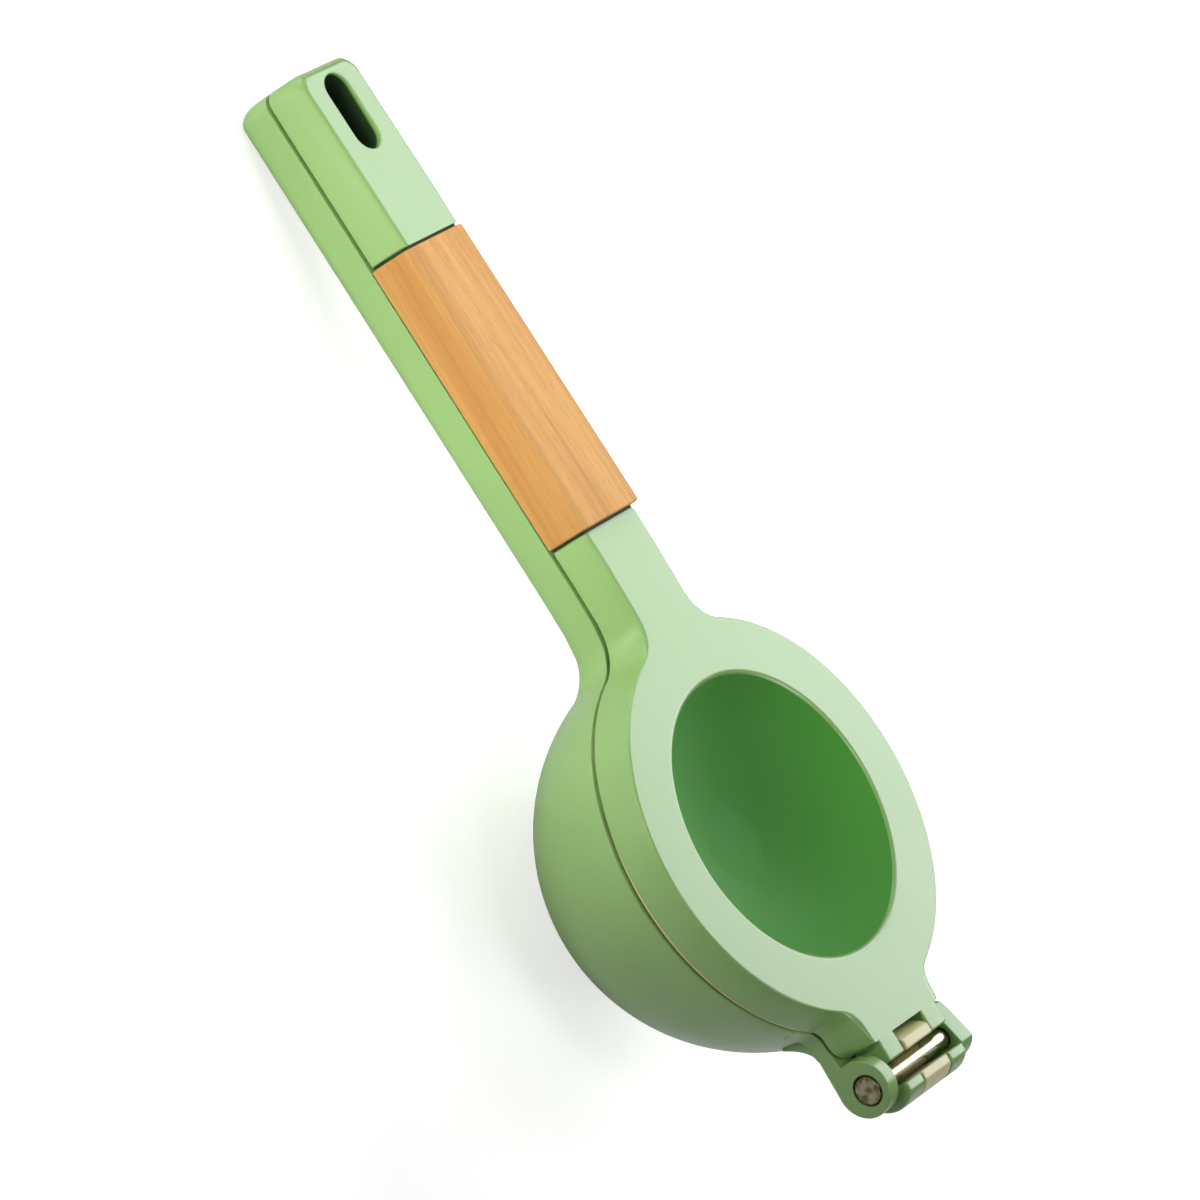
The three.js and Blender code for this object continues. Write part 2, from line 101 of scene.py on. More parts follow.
SHARP_EDGE = math.radians(40)
HINGE_ASIDE = -0.9
TAB_END = 47.5
# Half width, fillet and corner of the hinge tab on its far side, 1, and its near side, -1
TAB_SEAM = {1: (17.2, 4.0, 1.2), -1: (17.2, 4.0, 4.3)}
TAB_TOP = {1: (11.7, 5.5, 0.4), -1: (12.6, 5.5, 0.4)}
NECK_SEAM_FILLET = 7.5
NECK_UNDER_FILLET = 2.5
NECK_TOP_FILLET = 9.0
CUP_HOOK_HALF = 5.1
PRESS_HOOK = (5.5, 11.4)
CUP_RADIUS = 40.9
CUP_WALL = 1.6
BOWL_HOLE_RADIUS = 2.5
BOWL_HOLE_SPACING = 10.5
CUP_HOLE_RADIUS = 1.9
CUP_HOLE_SPACING = 8.5
CUP_LUG_DEPTH = 3.0
SEAM_OPEN = 0.6

# Slow curves along the arms: how much, and between which distances from the bowl's axis
NECK_RISE_SPAN = (41.0, 52.0)
RING_END_SPAN = (42.6, 46.0)
SKIRT_RISE = 0.35
SKIRT_SPAN = (-32.0, 6.0)
PLATE_RISE = 1.4
PLATE_RISE_SPAN = (-30.0, 70.0)
END_THICKER = 0.9
END_THICKER_SPAN = (70.0, 130.0)
END_THINNER = 0.35
END_THINNER_SPAN = (140.0, 175.0)
TOP_CURVED = (-66, 30)
UNDERSIDE_CURVED = (-56, -42)

# Small forms at the castings' ends; END_UPRIGHT and RIB_PROUD are shares of a height
GRIP_CORNER = 0.5
GRIP_TOP_CORNER = 0.4
GRIP_FACE_LEAN = 0.35
GRIP_REAR_PROUD = 0.3
END_CORNER = 3.5
END_TOP_CORNER = 3.0
END_LEAN = 2.2
END_WIDER = 0.25
END_UPRIGHT = 0.72
TIP_START = GRIP_REAR - 20
RIB_ROOT = 1.5
RIB_INSET = 0.9
RIB_PROUD = 0.4
EAR_FLAT_BACK = [(47.7, -6.4), (47.8, -4.6), (48.6, -3.3), (50.4, -2.6)]

# Levels that are clear of the lower casting, for cuts that run right out of it
CLEAR_BELOW = -40.0
CLEAR_ABOVE = 5.0


def length_property(name, description, default):
    """A property for a length, given in millimetres."""
    return FloatProperty(name=name, description=description, default=default * MM, subtype="DISTANCE",
                         unit="LENGTH")


def angle_property(name, description, default):
    """A property for an angle, given in degrees."""
    return FloatProperty(name=name, description=description, default=math.radians(default),
                         subtype="ANGLE", unit="ROTATION")


def colour_property(name, description, default):
    """A property for a colour, given in linear light."""
    return FloatVectorProperty(name=name, description=description, default=default, subtype="COLOR",
                               size=3, min=0.0, max=1.0)


class JuicerSizes(bpy.types.PropertyGroup):
    """Forms of the cast arms and the grip"""

    bowl_radius: length_property("Bowl radius", "Outside radius of the bowl and the ring", 44)
    bowl_wall: length_property("Bowl wall", "Thickness of the bowl", 2.6)
    ring_top_radius: length_property(
        "Ring top radius", "Radius of the ring's flat top at its outer edge", 42.3)
    dish_radius: length_property("Dish radius", "Radius of the dish at its mouth", 30.5)
    dish_depth: length_property("Dish depth", "Depth of the dish below the ring's top", 14.4)
    grip_proud: length_property("Grip proud", "How far the wood stands above the plate at the neck", 1.65)
    rest_tilt: angle_property("Rest tilt", "How far the closed juicer leans on its handle's end", -11.442336)
    round_steps: IntProperty(
        name="Round steps", description="Steps round the bowl, the dish and the cup",
        default=128, min=32, max=256)


class JuicerFinishes(bpy.types.PropertyGroup):
    """Colours of the finishes, and of the shade painted in the dish and the slot"""

    paint: colour_property("Paint", "Sage green paint of both arms", (0.262, 0.46, 0.155))
    # A darker green inside the dish, painted shade
    dish_shade_paint: colour_property("Dish painted shade", "Deeper green inside the dish", (0.058, 0.285, 0.032))
    # A very dark green in the hang slot and in the gaps at the wood's ends, painted shade
    slot_shade_paint: colour_property(
        "Slot painted shade", "Dark green inside the hang slot and at the wood's ends", (0.02, 0.05, 0.018))
    cream: colour_property("Cream", "Cream paint of the strainer cup", (0.72, 0.66, 0.36))
    wood_light: colour_property("Light wood", "Pale stripes of the beech", (0.8, 0.445, 0.14))
    wood_dark: colour_property("Dark wood", "Darker stripes of the beech", (0.65, 0.295, 0.078))
    steel: colour_property("Steel", "Pin and screws", (0.55, 0.49, 0.34))


class JuicerStage(bpy.types.PropertyGroup):
    """Camera and light"""

    lens: FloatProperty(
        name="Lens", description="Focal length on a 36 mm sensor", default=226.98, unit="CAMERA")
    distance: length_property("Distance", "From the camera to the bowl's axis", 1500)
    elevation: angle_property("Elevation", "Camera above the ring's plane", 37.07)
    azimuth: angle_property("Azimuth", "Camera round the bowl's axis", 0.91)
    roll: angle_property("Roll", "Turn of the picture", 58.01)
    offset: FloatVectorProperty(
        name="Offset", description="Picture centre from the bowl's axis, right and up before the roll",
        size=2, default=(-55.3 * MM, -8.4 * MM), subtype="XYZ", unit="LENGTH")
    floor_shade: FloatProperty(
        name="Floor shade", description="How pale the floor is", default=0.78, min=0.0, max=1.0)
    white: FloatProperty(
        name="White", description="Glow of the floor to the camera", default=0.62)
    surround: FloatProperty(
        name="Surround", description="Even light from all sides", default=0.05)


# Placing: the drawing's frame is tilted so that the closed juicer lies on a table

def placing(sizes):
    """Matrix from the drawing's millimetres to the row's metres, taken from where the pin is."""
    low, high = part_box("hinge_pin")
    turn = Matrix.Rotation(sizes.rest_tilt, 4, "Y")
    scaled = turn @ Matrix.Scale(MM, 4)
    return Matrix.Translation((low + high) / 2 - scaled @ PIN) @ scaled


def smooth_step(value, low, high):
    """0 up to the low value, 1 from the high one, with a smooth way between them."""
    share = min(1.0, max(0.0, (value - low) / (high - low)))
    return share * share * (3 - 2 * share)


def parting_level(x):
    """Underside of the press handle: it rises over the neck, then falls towards the end."""
    rise = HANDLE_RISE * smooth_step(-x, *NECK_RISE_SPAN)
    return FLANGE_BOTTOM + rise - max(0.0, HANDLE_START - x) * HANDLE_DROOP


def press_bottom(x):
    """The ring's underside is a little above the neck's, to make room for the cup's flange."""
    return RING_BOTTOM + (parting_level(x) - RING_BOTTOM) * smooth_step(-x, *RING_END_SPAN)


def skirt_level(x):
    """Lower edge of the press arm's side, which bares more of the cup's flange at the hinge."""
    return parting_level(x) + SEAM_OPEN + SKIRT_RISE * smooth_step(x, *SKIRT_SPAN)


def press_top(x):
    """The plate's top, with a handle that is a little thicker behind the wood than before it."""
    rise = PLATE_RISE * smooth_step(-x, *PLATE_RISE_SPAN)
    thicker = END_THICKER * smooth_step(-x, *END_THICKER_SPAN)
    thinner = END_THINNER * smooth_step(-x, *END_THINNER_SPAN)
    droop = max(0.0, HANDLE_START - x) * HANDLE_DROOP
    return FLANGE_BOTTOM + PRESS_THICKNESS + rise - droop + thicker - thinner


def grip_top(x, proud):
    """The wood's top: it stands further above the plate at the neck than at the handle's end."""
    share = (x - GRIP_REAR) / (GRIP_FRONT - GRIP_REAR)
    rear, front = press_top(GRIP_REAR) + GRIP_REAR_PROUD, press_top(GRIP_FRONT) + proud
    return rear + (front - rear) * share


# Outlines

def arc(centre, radius, start, end, steps):
    """Points of an arc in a plane; angles in degrees."""
    points = []
    for i in range(steps + 1):
        angle = math.radians(start + (end - start) * i / steps)
        points.append((centre[0] + radius * math.cos(angle), centre[1] + radius * math.sin(angle)))
    return points


def curve(start, bend, end, steps):
    """Points of a curve that leaves its start towards the bend; the start itself is left out."""
    points = []
    for i in range(1, steps + 1):
        t = i / steps
        shares = ((1 - t) ** 2, 2 * t * (1 - t), t * t)
        points.append(tuple(sum(k * v for k, v in zip(shares, values)) for values in zip(start, bend, end)))
    return points


def rectangle(rear, front, near, far):
    """Plan of a block, between two places along the arms and two across them."""
    return [(rear, near), (front, near), (front, far), (rear, far)]


def slot_outline(half):
    """Plan of the hang slot, with round ends."""
    reach = (SLOT_LENGTH - SLOT_WIDTH) / 2
    front = arc((SLOT_CENTRE + reach, 0), half, -90, 90, 14)
    return [*front, *arc((SLOT_CENTRE - reach, 0), half, 90, 270, 14)]


def resampled(points, count):
    """The same path with even steps."""
    lengths = [0.0]
    for a, b in zip(points, points[1:]):
        lengths.append(lengths[-1] + math.dist(a, b))
    path, i = [], 0
    for k in range(count + 1):
        want = lengths[-1] * k / count
        while i < len(points) - 2 and lengths[i + 1] < want:
            i += 1
        share = (want - lengths[i]) / max(1e-9, lengths[i + 1] - lengths[i])
        path.append(tuple(a + (b - a) * share for a, b in zip(points[i], points[i + 1])))
    return path


def tab_outline(radius, half, fillet, corner, aside):
    """Plan of the hinge tab on one side, from the ring to the tab's end; aside moves it along the pin."""
    half = half + aside
    far = math.sqrt((radius + fillet) ** 2 - (half + fillet) ** 2)
    angle = math.degrees(math.atan2(half + fillet, far))
    return [*arc((0, 0), radius, 32, angle, 40), *arc((far, half + fillet), fillet, angle + 180, 270, 40),
            *arc((TAB_END - corner, half - corner), corner, 90, 0, 30)]


def ring_outline(front, radius, half, neck_fillet, tab, corner, side):
    """Plan of the press arm's ring with its neck and hinge tab, for one side, from the grip to the tab."""
    far = math.sqrt((radius + neck_fillet) ** 2 - (half + neck_fillet) ** 2)
    neck_angle = math.degrees(math.atan2(half + neck_fillet, -far))
    cap = arc((front + corner, half - corner), corner, 180, 90, 4)
    straight = resampled([cap[-1], (HANDLE_START, half)], 5)
    neck = [(HANDLE_START, half), *arc((-far, half + neck_fillet), neck_fillet, -90, neck_angle - 180, 40),
            *arc((0, 0), radius, neck_angle, 150, 40)]
    tab_side = tab_outline(radius, *tab[side], side * HINGE_ASIDE)
    return [*cap, *straight[1:], *resampled(neck, 34)[1:], *arc((0, 0), radius, 150, 32, 70)[1:],
            *resampled(tab_side, 36)[1:]]


def end_outline(end, half, front_corner, end_corner):
    """Plan of the press arm's handle end, for one side, from its tip to the grip."""
    tip = arc((end + end_corner, half - end_corner), end_corner, 180, 90, 12)
    side = resampled([tip[-1], (GRIP_REAR - front_corner, half)], 8)
    cap = arc((GRIP_REAR - front_corner, half - front_corner), front_corner, 90, 0, 4)
    return [*tip, *side[1:], *cap[1:]]


def both_sides(far_half, near_half):
    """A whole plan from its two halves; the near one is mirrored."""
    return [*far_half, *[(x, -y) for x, y in reversed(near_half)]]


def flank_steps():
    """From the seam up: shares of the way in to the top's edge and of the way up."""
    lower = [(0.06, 0.0), (0.02, 0.012), (0.0, 0.04)]
    side = [(0.12 * h + 0.68 * h * h, h) for h in (0.15, 0.3, 0.45, 0.6, 0.75, 0.86, 0.92)]
    return [*lower, *side, *curve(side[-1], (side[-1][0] + 0.11, 1.0), (1.0, 1.0), 7)]


def grip_flank():
    """From the seam up: millimetres inwards and the share of the way up, with a soft turn to the top."""
    side = [(0.24 * h + 1.36 * h * h, h) for h in (0.04, 0.15, 0.3, 0.45, 0.6, 0.72)]
    return [(0.12, 0.0), (0.04, 0.012), *side, *curve(side[-1], (1.4, 1.0), (2.9, 1.0), 10)]


def grip_ring(x, inset, proud):
    """The wood's outline at x, drawn in by an inset."""
    low, high = parting_level(x), grip_top(x, proud) - inset
    half = [(HANDLE_HALF - inset - inward, low + (high - low) * upward) for inward, upward in grip_flank()]
    half += [(half[-1][0] * k / 4, high) for k in (3, 2, 1, 0)]
    base = [(half[0][0] * k / 4, low) for k in (0, 1, 2, 3)]
    far_side = [(-y, z) for y, z in [*reversed(half[:-1]), *reversed(base[1:])]]
    return [(x, y, z) for y, z in [*base, *half, *far_side]]


def end_share(upward):
    """The handle's end stays upright and rounds over near the top."""
    past = max(0.0, (upward - END_UPRIGHT) / (1 - END_UPRIGHT))
    return 1 - math.sqrt(max(0.0, 1 - past ** 2))


# Mesh steps

def edge_ring(bm, points, closed=True):
    """Edges from point to point, in order."""
    verts = [bm.verts.new(point) for point in points]
    pairs = list(zip(verts, verts[1:]))
    if closed:
        pairs.append((verts[-1], verts[0]))
    return [bm.edges.new(pair) for pair in pairs]


def skinned(bm, rings):
    """Draws a ring of edges out to each next ring of points; returns the first and the last ring's edges."""
    edges = first = edge_ring(bm, rings[0])
    verts = [edge.verts[0] for edge in edges]
    for ring in rings[1:]:
        drawn = bmesh.ops.extrude_edge_only(bm, edges=edges)["geom"]
        fresh = {v for v in drawn if isinstance(v, bmesh.types.BMVert)}
        edges = [e for e in drawn if isinstance(e, bmesh.types.BMEdge) and fresh.issuperset(e.verts)]
        verts = [next(e.other_vert(v) for e in v.link_edges if e.other_vert(v) in fresh) for v in verts]
        for vert, point in zip(verts, ring):
            vert.co = point
    return first, edges


def capped(bm, rings):
    """A skin over rings of points with a flat face at each end."""
    for ring in skinned(bm, rings):
        bmesh.ops.contextual_create(bm, geom=ring)


def spun(bm, profile, steps, centre=(0, 0, 0), axis=(0, 0, 1)):
    """Turns a profile of points about an axis through the centre."""
    edges = edge_ring(bm, profile, closed=False)
    verts = {v for edge in edges for v in edge.verts}
    bmesh.ops.spin(bm, geom=[*verts, *edges], cent=centre, axis=axis, angle=2 * math.pi, steps=steps,
                   use_merge=True)


def rim_edges(bm, radius, level):
    """Edges of a circle about Z that follows a level."""
    def on_rim(vert):
        return abs(vert.co.z - level(vert.co.x)) < 1e-3 and abs(vert.co.xy.length - radius) < 1e-2
    return [edge for edge in bm.edges if on_rim(edge.verts[0]) and on_rim(edge.verts[1])]


def drawn_out(bm, points, vector):
    """A flat face drawn out along a vector."""
    face = bm.faces.new([bm.verts.new(point) for point in points])
    drawn = bmesh.ops.extrude_face_region(bm, geom=[face])
    moved = [v for v in drawn["geom"] if isinstance(v, bmesh.types.BMVert)]
    bmesh.ops.translate(bm, verts=moved, vec=vector)


def column(bm, outline, low, high):
    """A plan outline of (x, y) points, drawn up from one level to another."""
    drawn_out(bm, [(x, y, low) for x, y in outline], (0, 0, high - low))


def cleaned(bm):
    """Merges doubles and turns the faces outwards."""
    bmesh.ops.remove_doubles(bm, verts=bm.verts, dist=MERGE)
    bmesh.ops.recalc_face_normals(bm, faces=bm.faces)
    return bm


def solid(build):
    """A closed bmesh made by a function."""
    bm = bmesh.new()
    build(bm)
    return cleaned(bm)


def rounded_prism(outline, near, far, radius):
    """A side-view outline of (x, z) points, drawn out from one y to another, with sharp edges rounded."""
    def build(bm):
        drawn_out(bm, [(x, near, z) for x, z in outline], (0, far - near, 0))
        cleaned(bm)
        sharp = [e for e in bm.edges if len(e.link_faces) == 2 and e.calc_face_angle() > SHARP_EDGE]
        bmesh.ops.bevel(bm, geom=sharp, offset=radius, offset_type="OFFSET", segments=3, profile=0.5,
                        affect="EDGES", clamp_overlap=True, material=-1)
    return solid(build)


def drain_holes(ball_radius, spacing, hole, sides):
    """Columns through the bottom of a ball: one in the middle and two rings of them about it."""
    def build(bm):
        places = [(0.0, 0.0)]
        for ring in (1, 2):
            for i in range(6 * ring):
                angle = math.pi * i / (3 * ring)
                places.append((ring * spacing * math.cos(angle), ring * spacing * math.sin(angle)))
        for place in places:
            outline = arc(place, hole, 0, 360 - 360 / sides, sides - 1)
            column(bm, outline, RIM_LEVEL - ball_radius - 5, RIM_LEVEL - ball_radius / 2)
    return solid(build)


def tang_bar(past, room, below):
    """The bar under the wood that joins the handle's two ends, with a length past them and room round it."""
    def build(bm):
        half = TANG_HALF + room
        rings = []
        for x in (GRIP_FRONT + past, GRIP_REAR - past):
            low, high = parting_level(x) - below, parting_level(x) + TANG_HEIGHT + room
            rings.append([(x, -half, low), (x, half, low), (x, half, high), (x, -half, high)])
        capped(bm, rings)
    return solid(build)


def as_object(bm, name):
    """Puts a bmesh into the scene and frees it."""
    mesh = bpy.data.meshes.new(name)
    bm.to_mesh(mesh)
    bm.free()
    obj = bpy.data.objects.new(name, mesh)
    bpy.context.scene.collection.objects.link(obj)
    return obj


def cut_and_joined(base, joins, cuts):
    """One bmesh from a base, the bodies it is joined with and the bodies taken out of it."""
    target = as_object(base, "work")
    tools = []
    for operation, bodies in (("UNION", joins), ("DIFFERENCE", cuts)):
        for body in bodies:
            tool = as_object(body, "tool")
            step = target.modifiers.new("step", "BOOLEAN")
            step.operation = operation
            step.solver = "MANIFOLD"
            step.object = tool
            tools.append(tool)
    depsgraph = bpy.context.evaluated_depsgraph_get()
    result = bmesh.new()
    result.from_object(target, depsgraph)
    for obj in (target, *tools):
        mesh = obj.data
        bpy.data.objects.remove(obj)
        bpy.data.meshes.remove(mesh)
    if not result.faces:
        raise RuntimeError("a cut left nothing over")
    return cleaned(result)


def piece(bm, name, node, body, material, sizes, sharp=35):
    """Turns a bmesh into a finished piece that stands for a node."""
    bmesh.ops.transform(bm, matrix=placing(sizes), verts=bm.verts)
    obj = as_object(bm, name)
    obj.data.materials.append(material)
    obj.data.polygons.foreach_set("use_smooth", [True] * len(obj.data.polygons))
    obj.data.set_sharp_from_angle(angle=math.radians(sharp))
    weighted = obj.modifiers.new("Flat faces stay flat", "WEIGHTED_NORMAL")
    weighted.keep_sharp = True
    weighted.weight = 80
    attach(obj, body)
    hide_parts(node)


# Hinge outlines, seen from the side

def hook_outline(under):
    """Mouth and outside of an open hook on the pin; under is the lower level of its shank."""
    mouth = arc((PIN.x, PIN.z), HOOK_MOUTH, 180, 360, 14)
    crest = math.degrees(math.asin((HOOK_CREST - PIN.z) / HOOK_RADIUS))
    foot = 180 + math.degrees(math.asin(min(1.0, (PIN.z - under) / HOOK_RADIUS)))
    return mouth, arc((PIN.x, PIN.z), HOOK_RADIUS, crest, foot - 360, 26)


def press_hook(near, far):
    """One open hook at the end of the hinge tab."""
    mouth, outside = hook_outline(RING_BOTTOM)
    outline = [(TAB_END - 2, 0), (mouth[0][0], 0), *mouth, (mouth[-1][0], HOOK_CREST), *outside,
               (TAB_END - 2, RING_BOTTOM)]
    return rounded_prism(outline, near + HINGE_ASIDE, far + HINGE_ASIDE, PRESS_HOOK_ROUND)


def ear(side):
    """One hinge ear: an arm off the bowl's rim with a disc round the pin; the far one is flatter behind."""
    outer_aside = HINGE_ASIDE if side < 0 else 0
    near, far = sorted((side * EAR_INNER + HINGE_ASIDE, side * EAR_OUTER + outer_aside))
    disc = arc(EAR_CENTRE, EAR_RADIUS, 196, -100, 40)
    if side > 0:
        disc = [disc[0], *EAR_FLAT_BACK, *arc(EAR_CENTRE, EAR_RADIUS, 57, -100, 24)]
    low = disc[-1][1]
    start = (45.5, low + 0.2)
    fillet = [start, *curve(start, (42.4, low + 0.1), (39.9, -18.0), 10)]
    return rounded_prism([(39.8, -8.7), *disc, *fillet, (39.3, -17.6)], near, far, EAR_ROUND)


# Materials

def set_or_linked(tree, socket, value):
    """Gives a socket a value of its own or one from another socket."""
    if isinstance(value, bpy.types.NodeSocket):
        tree.links.new(value, socket)
    else:
        socket.default_value = value


def made(tree, kind, output, inputs, **settings):
    """Adds a node with its settings and inputs and returns one of its outputs."""
    node = tree.nodes.new(kind)
    for name, value in settings.items():
        setattr(node, name, value)
    for key, value in inputs.items():
        set_or_linked(tree, node.inputs[key], value)
    return node.outputs[output]


def here(tree):
    """Where a point is on its own piece."""
    return made(tree, "ShaderNodeTexCoord", "Object", {})


def apart(tree, vector):
    """The three parts of a vector."""
    node = tree.nodes.new("ShaderNodeSeparateXYZ")
    tree.links.new(vector, node.inputs["Vector"])
    return node.outputs


def noise(tree, vector, scale, detail):
    """A cloudy value between 0 and 1."""
    inputs = {"Vector": vector, "Scale": scale, "Detail": detail}
    return made(tree, "ShaderNodeTexNoise", "Fac", inputs)


def graded(tree, value, low, high, least=0.0, most=1.0, step="LINEAR"):
    """A value from one range brought to another and held at its ends."""
    inputs = {"Value": value, "From Min": low, "From Max": high, "To Min": least, "To Max": most}
    return made(tree, "ShaderNodeMapRange", "Result", inputs, interpolation_type=step)


def reckoned(tree, operation, a, b=0.0):
    """Arithmetic on one or two values."""
    return made(tree, "ShaderNodeMath", "Value", {0: a, 1: b}, operation=operation)


def shaded(tree, colour, brightness):
    """A colour made lighter or darker."""
    return made(tree, "ShaderNodeHueSaturation", "Color", {"Color": colour, "Value": brightness})


def mixed(tree, kind, factor, a, b):
    """A mix of two colours or two values by a mask."""
    node = tree.nodes.new("ShaderNodeMix")
    node.data_type = kind
    sockets = [socket for socket in node.inputs if socket.enabled]
    for socket, value in zip(sockets, (factor, a, b)):
        set_or_linked(tree, socket, value)
    return next(socket for socket in node.outputs if socket.enabled)


def opaque(colour, share=1.0):
    """A colour, made darker by a share, as a socket takes it."""
    return (*[part * share for part in colour], 1)


def fresh_material(name):
    """A new material with its node tree and its shader."""
    material = bpy.data.materials.new(name)
    material.use_nodes = True
    tree = material.node_tree
    return material, tree, tree.nodes["Principled BSDF"]


def with_bump(tree, shader, height, strength, distance):
    """Gives a shader fine relief from a height."""
    inputs = {"Height": height, "Strength": strength, "Distance": distance}
    tree.links.new(made(tree, "ShaderNodeBump", "Normal", inputs), shader.inputs["Normal"])


def dressed(tree, shader, inputs):
    """Sets or links inputs of a material's shader."""
    for name, value in inputs.items():
        set_or_linked(tree, shader.inputs[name], value)


def new_socket(group, name, kind, direction, default=None):
    """Adds an input or an output to a node group."""
    socket = group.interface.new_socket(name=name, in_out=direction, socket_type=kind)
    if default is not None:
        socket.default_value = default


def sprayed_group():
    """Soft uneven tone, roughness and orange-peel height of a sprayed coat."""
    found = bpy.data.node_groups.get("Sprayed coat")
    if found:
        return found
    group = bpy.data.node_groups.new("Sprayed coat", "ShaderNodeTree")
    new_socket(group, "Colour", "NodeSocketColor", "INPUT", (0.5, 0.5, 0.5, 1))
    new_socket(group, "Uneven", "NodeSocketFloat", "INPUT", 0.06)
    new_socket(group, "Colour", "NodeSocketColor", "OUTPUT")
    new_socket(group, "Roughness", "NodeSocketFloat", "OUTPUT")
    new_socket(group, "Height", "NodeSocketFloat", "OUTPUT")
    given = group.nodes.new("NodeGroupInput").outputs
    result = group.nodes.new("NodeGroupOutput").inputs
    place = here(group)
    cloud = noise(group, place, 55, 3)
    darkest = reckoned(group, "SUBTRACT", 1.0, given["Uneven"])
    tone = graded(group, cloud, 0.3, 0.7, darkest, 1.0)
    group.links.new(shaded(group, given["Colour"], tone), result["Colour"])
    group.links.new(graded(group, cloud, 0.0, 1.0, 0.27, 0.37), result["Roughness"])
    group.links.new(noise(group, place, 900, 2), result["Height"])
    return group


def sprayed(name, colour, uneven, peel):
    """A sprayed coat in one colour."""
    material, tree, shader = fresh_material(name)
    coat = tree.nodes.new("ShaderNodeGroup")
    coat.node_tree = sprayed_group()
    coat.inputs["Colour"].default_value = opaque(colour)
    coat.inputs["Uneven"].default_value = uneven
    dressed(tree, shader, {"Base Color": coat.outputs["Colour"], "Roughness": coat.outputs["Roughness"]})
    with_bump(tree, shader, coat.outputs["Height"], peel, 0.2 * MM)
    return material, tree, shader, coat


def hollow_shade_group(sizes):
    """Masks of the painted shade in the dish, and in the hang slot with the gaps at the wood, in the
    drawing's frame.
    """
    group = bpy.data.node_groups.new("Hollows", "ShaderNodeTree")
    new_socket(group, "Mask", "NodeSocketFloat", "OUTPUT")
    new_socket(group, "Slot", "NodeSocketFloat", "OUTPUT")
    result = group.nodes.new("NodeGroupOutput").inputs
    place = here(group)

    def seen_from(x, y, z):
        inputs = {"Vector": place, "Location": placing(sizes) @ Vector((x, y, z)),
                  "Rotation": (0, sizes.rest_tilt, 0), "Scale": (MM, MM, MM)}
        return made(group, "ShaderNodeMapping", "Vector", inputs, vector_type="TEXTURE")

    def within(value, low, high):
        return graded(group, value, low, high, step="SMOOTHSTEP")

    # The dish, which gets painted shade, is what lies below the plate inside a ball that is a little larger
    # than the dish
    ball_centre, ball_radius, ball_fade = 25.44, 42.0, 0.4
    from_centre = seen_from(0, 0, ball_centre)
    away = made(group, "ShaderNodeVectorMath", "Value", {0: from_centre}, operation="LENGTH")
    ball = within(away, ball_radius + ball_fade, ball_radius)
    spot = apart(group, seen_from(0, 0, 0))
    mouth = sizes.dish_radius / MM
    slope = (press_top(mouth) - press_top(-mouth)) / (2 * mouth)
    lip_start, lip_end = -0.46, -0.6
    plate = (press_top(mouth) + press_top(-mouth)) / 2
    level = reckoned(group, "ADD", reckoned(group, "MULTIPLY", spot["X"], slope), plate)
    below = within(reckoned(group, "SUBTRACT", spot["Z"], level), lip_start, lip_end)
    dish = reckoned(group, "MULTIPLY", ball, below)

    # The slot's mask of painted shade goes by the distance from the slot's middle line
    spot = apart(group, seen_from(SLOT_CENTRE, 0, press_top(SLOT_CENTRE)))
    straight = (SLOT_LENGTH - SLOT_WIDTH) / 2
    past = reckoned(group, "SUBTRACT", reckoned(group, "ABSOLUTE", spot["X"]), straight)
    past = reckoned(group, "MAXIMUM", past, 0.0)
    squares = reckoned(group, "ADD", reckoned(group, "POWER", past, 2.0),
                       reckoned(group, "MULTIPLY", spot["Y"], spot["Y"]))
    inside = within(reckoned(group, "SQRT", squares), SLOT_WIDTH / 2 + 0.2, SLOT_WIDTH / 2 + 0.05)
    dark = reckoned(group, "MULTIPLY", inside, within(spot["Z"], -0.3, -1.2))
    # The narrow gaps at the wood's ends get the same painted shade as the slot
    half_gap = GRIP_END_GAP / 2
    for middle in (GRIP_FRONT - half_gap, GRIP_REAR + half_gap):
        spot = apart(group, seen_from(middle, 0, parting_level(middle)))
        inside = within(reckoned(group, "ABSOLUTE", spot["X"]), half_gap + 0.04, half_gap - 0.02)
        gap = reckoned(group, "MULTIPLY", inside, within(spot["Z"], 0.0, 0.1))
        dark = reckoned(group, "MAXIMUM", dark, gap)
    group.links.new(reckoned(group, "MAXIMUM", dish, dark), result["Mask"])
    group.links.new(dark, result["Slot"])
    return group


def arm_paint(finishes, sizes):
    """Sage paint with a satin coat; duller in the dish and in the slot, and darker there as painted shade.
    """
    found = bpy.data.materials.get("Sage paint")
    if found:
        return found
    material, tree, shader, coat = sprayed("Sage paint", finishes.paint, 0.05, 0.05)
    hollow = tree.nodes.new("ShaderNodeGroup")
    hollow.node_tree = hollow_shade_group(sizes)
    mask, slot = hollow.outputs["Mask"], hollow.outputs["Slot"]
    # Painted shade: a darker green in the dish, a very dark green in the slot and the gaps at the wood
    deep = mixed(tree, "RGBA", slot, opaque(finishes.dish_shade_paint), opaque(finishes.slot_shade_paint))
    dressed(tree, shader, {
        "Base Color": mixed(tree, "RGBA", mask, coat.outputs["Colour"], deep),
        "Roughness": mixed(tree, "FLOAT", mask, coat.outputs["Roughness"], 0.7),
        "Coat Weight": mixed(tree, "FLOAT", mask, 0.6, 0.0),
        "Coat Roughness": 0.2,
        "Specular IOR Level": 0.6})
    return material


def cream_paint(finishes):
    """Smooth cream paint with a thin coat."""
    material, tree, shader, _ = sprayed("Cream paint", finishes.cream, 0.08, 0.08)
    dressed(tree, shader, {"Coat Weight": 0.3})
    return material


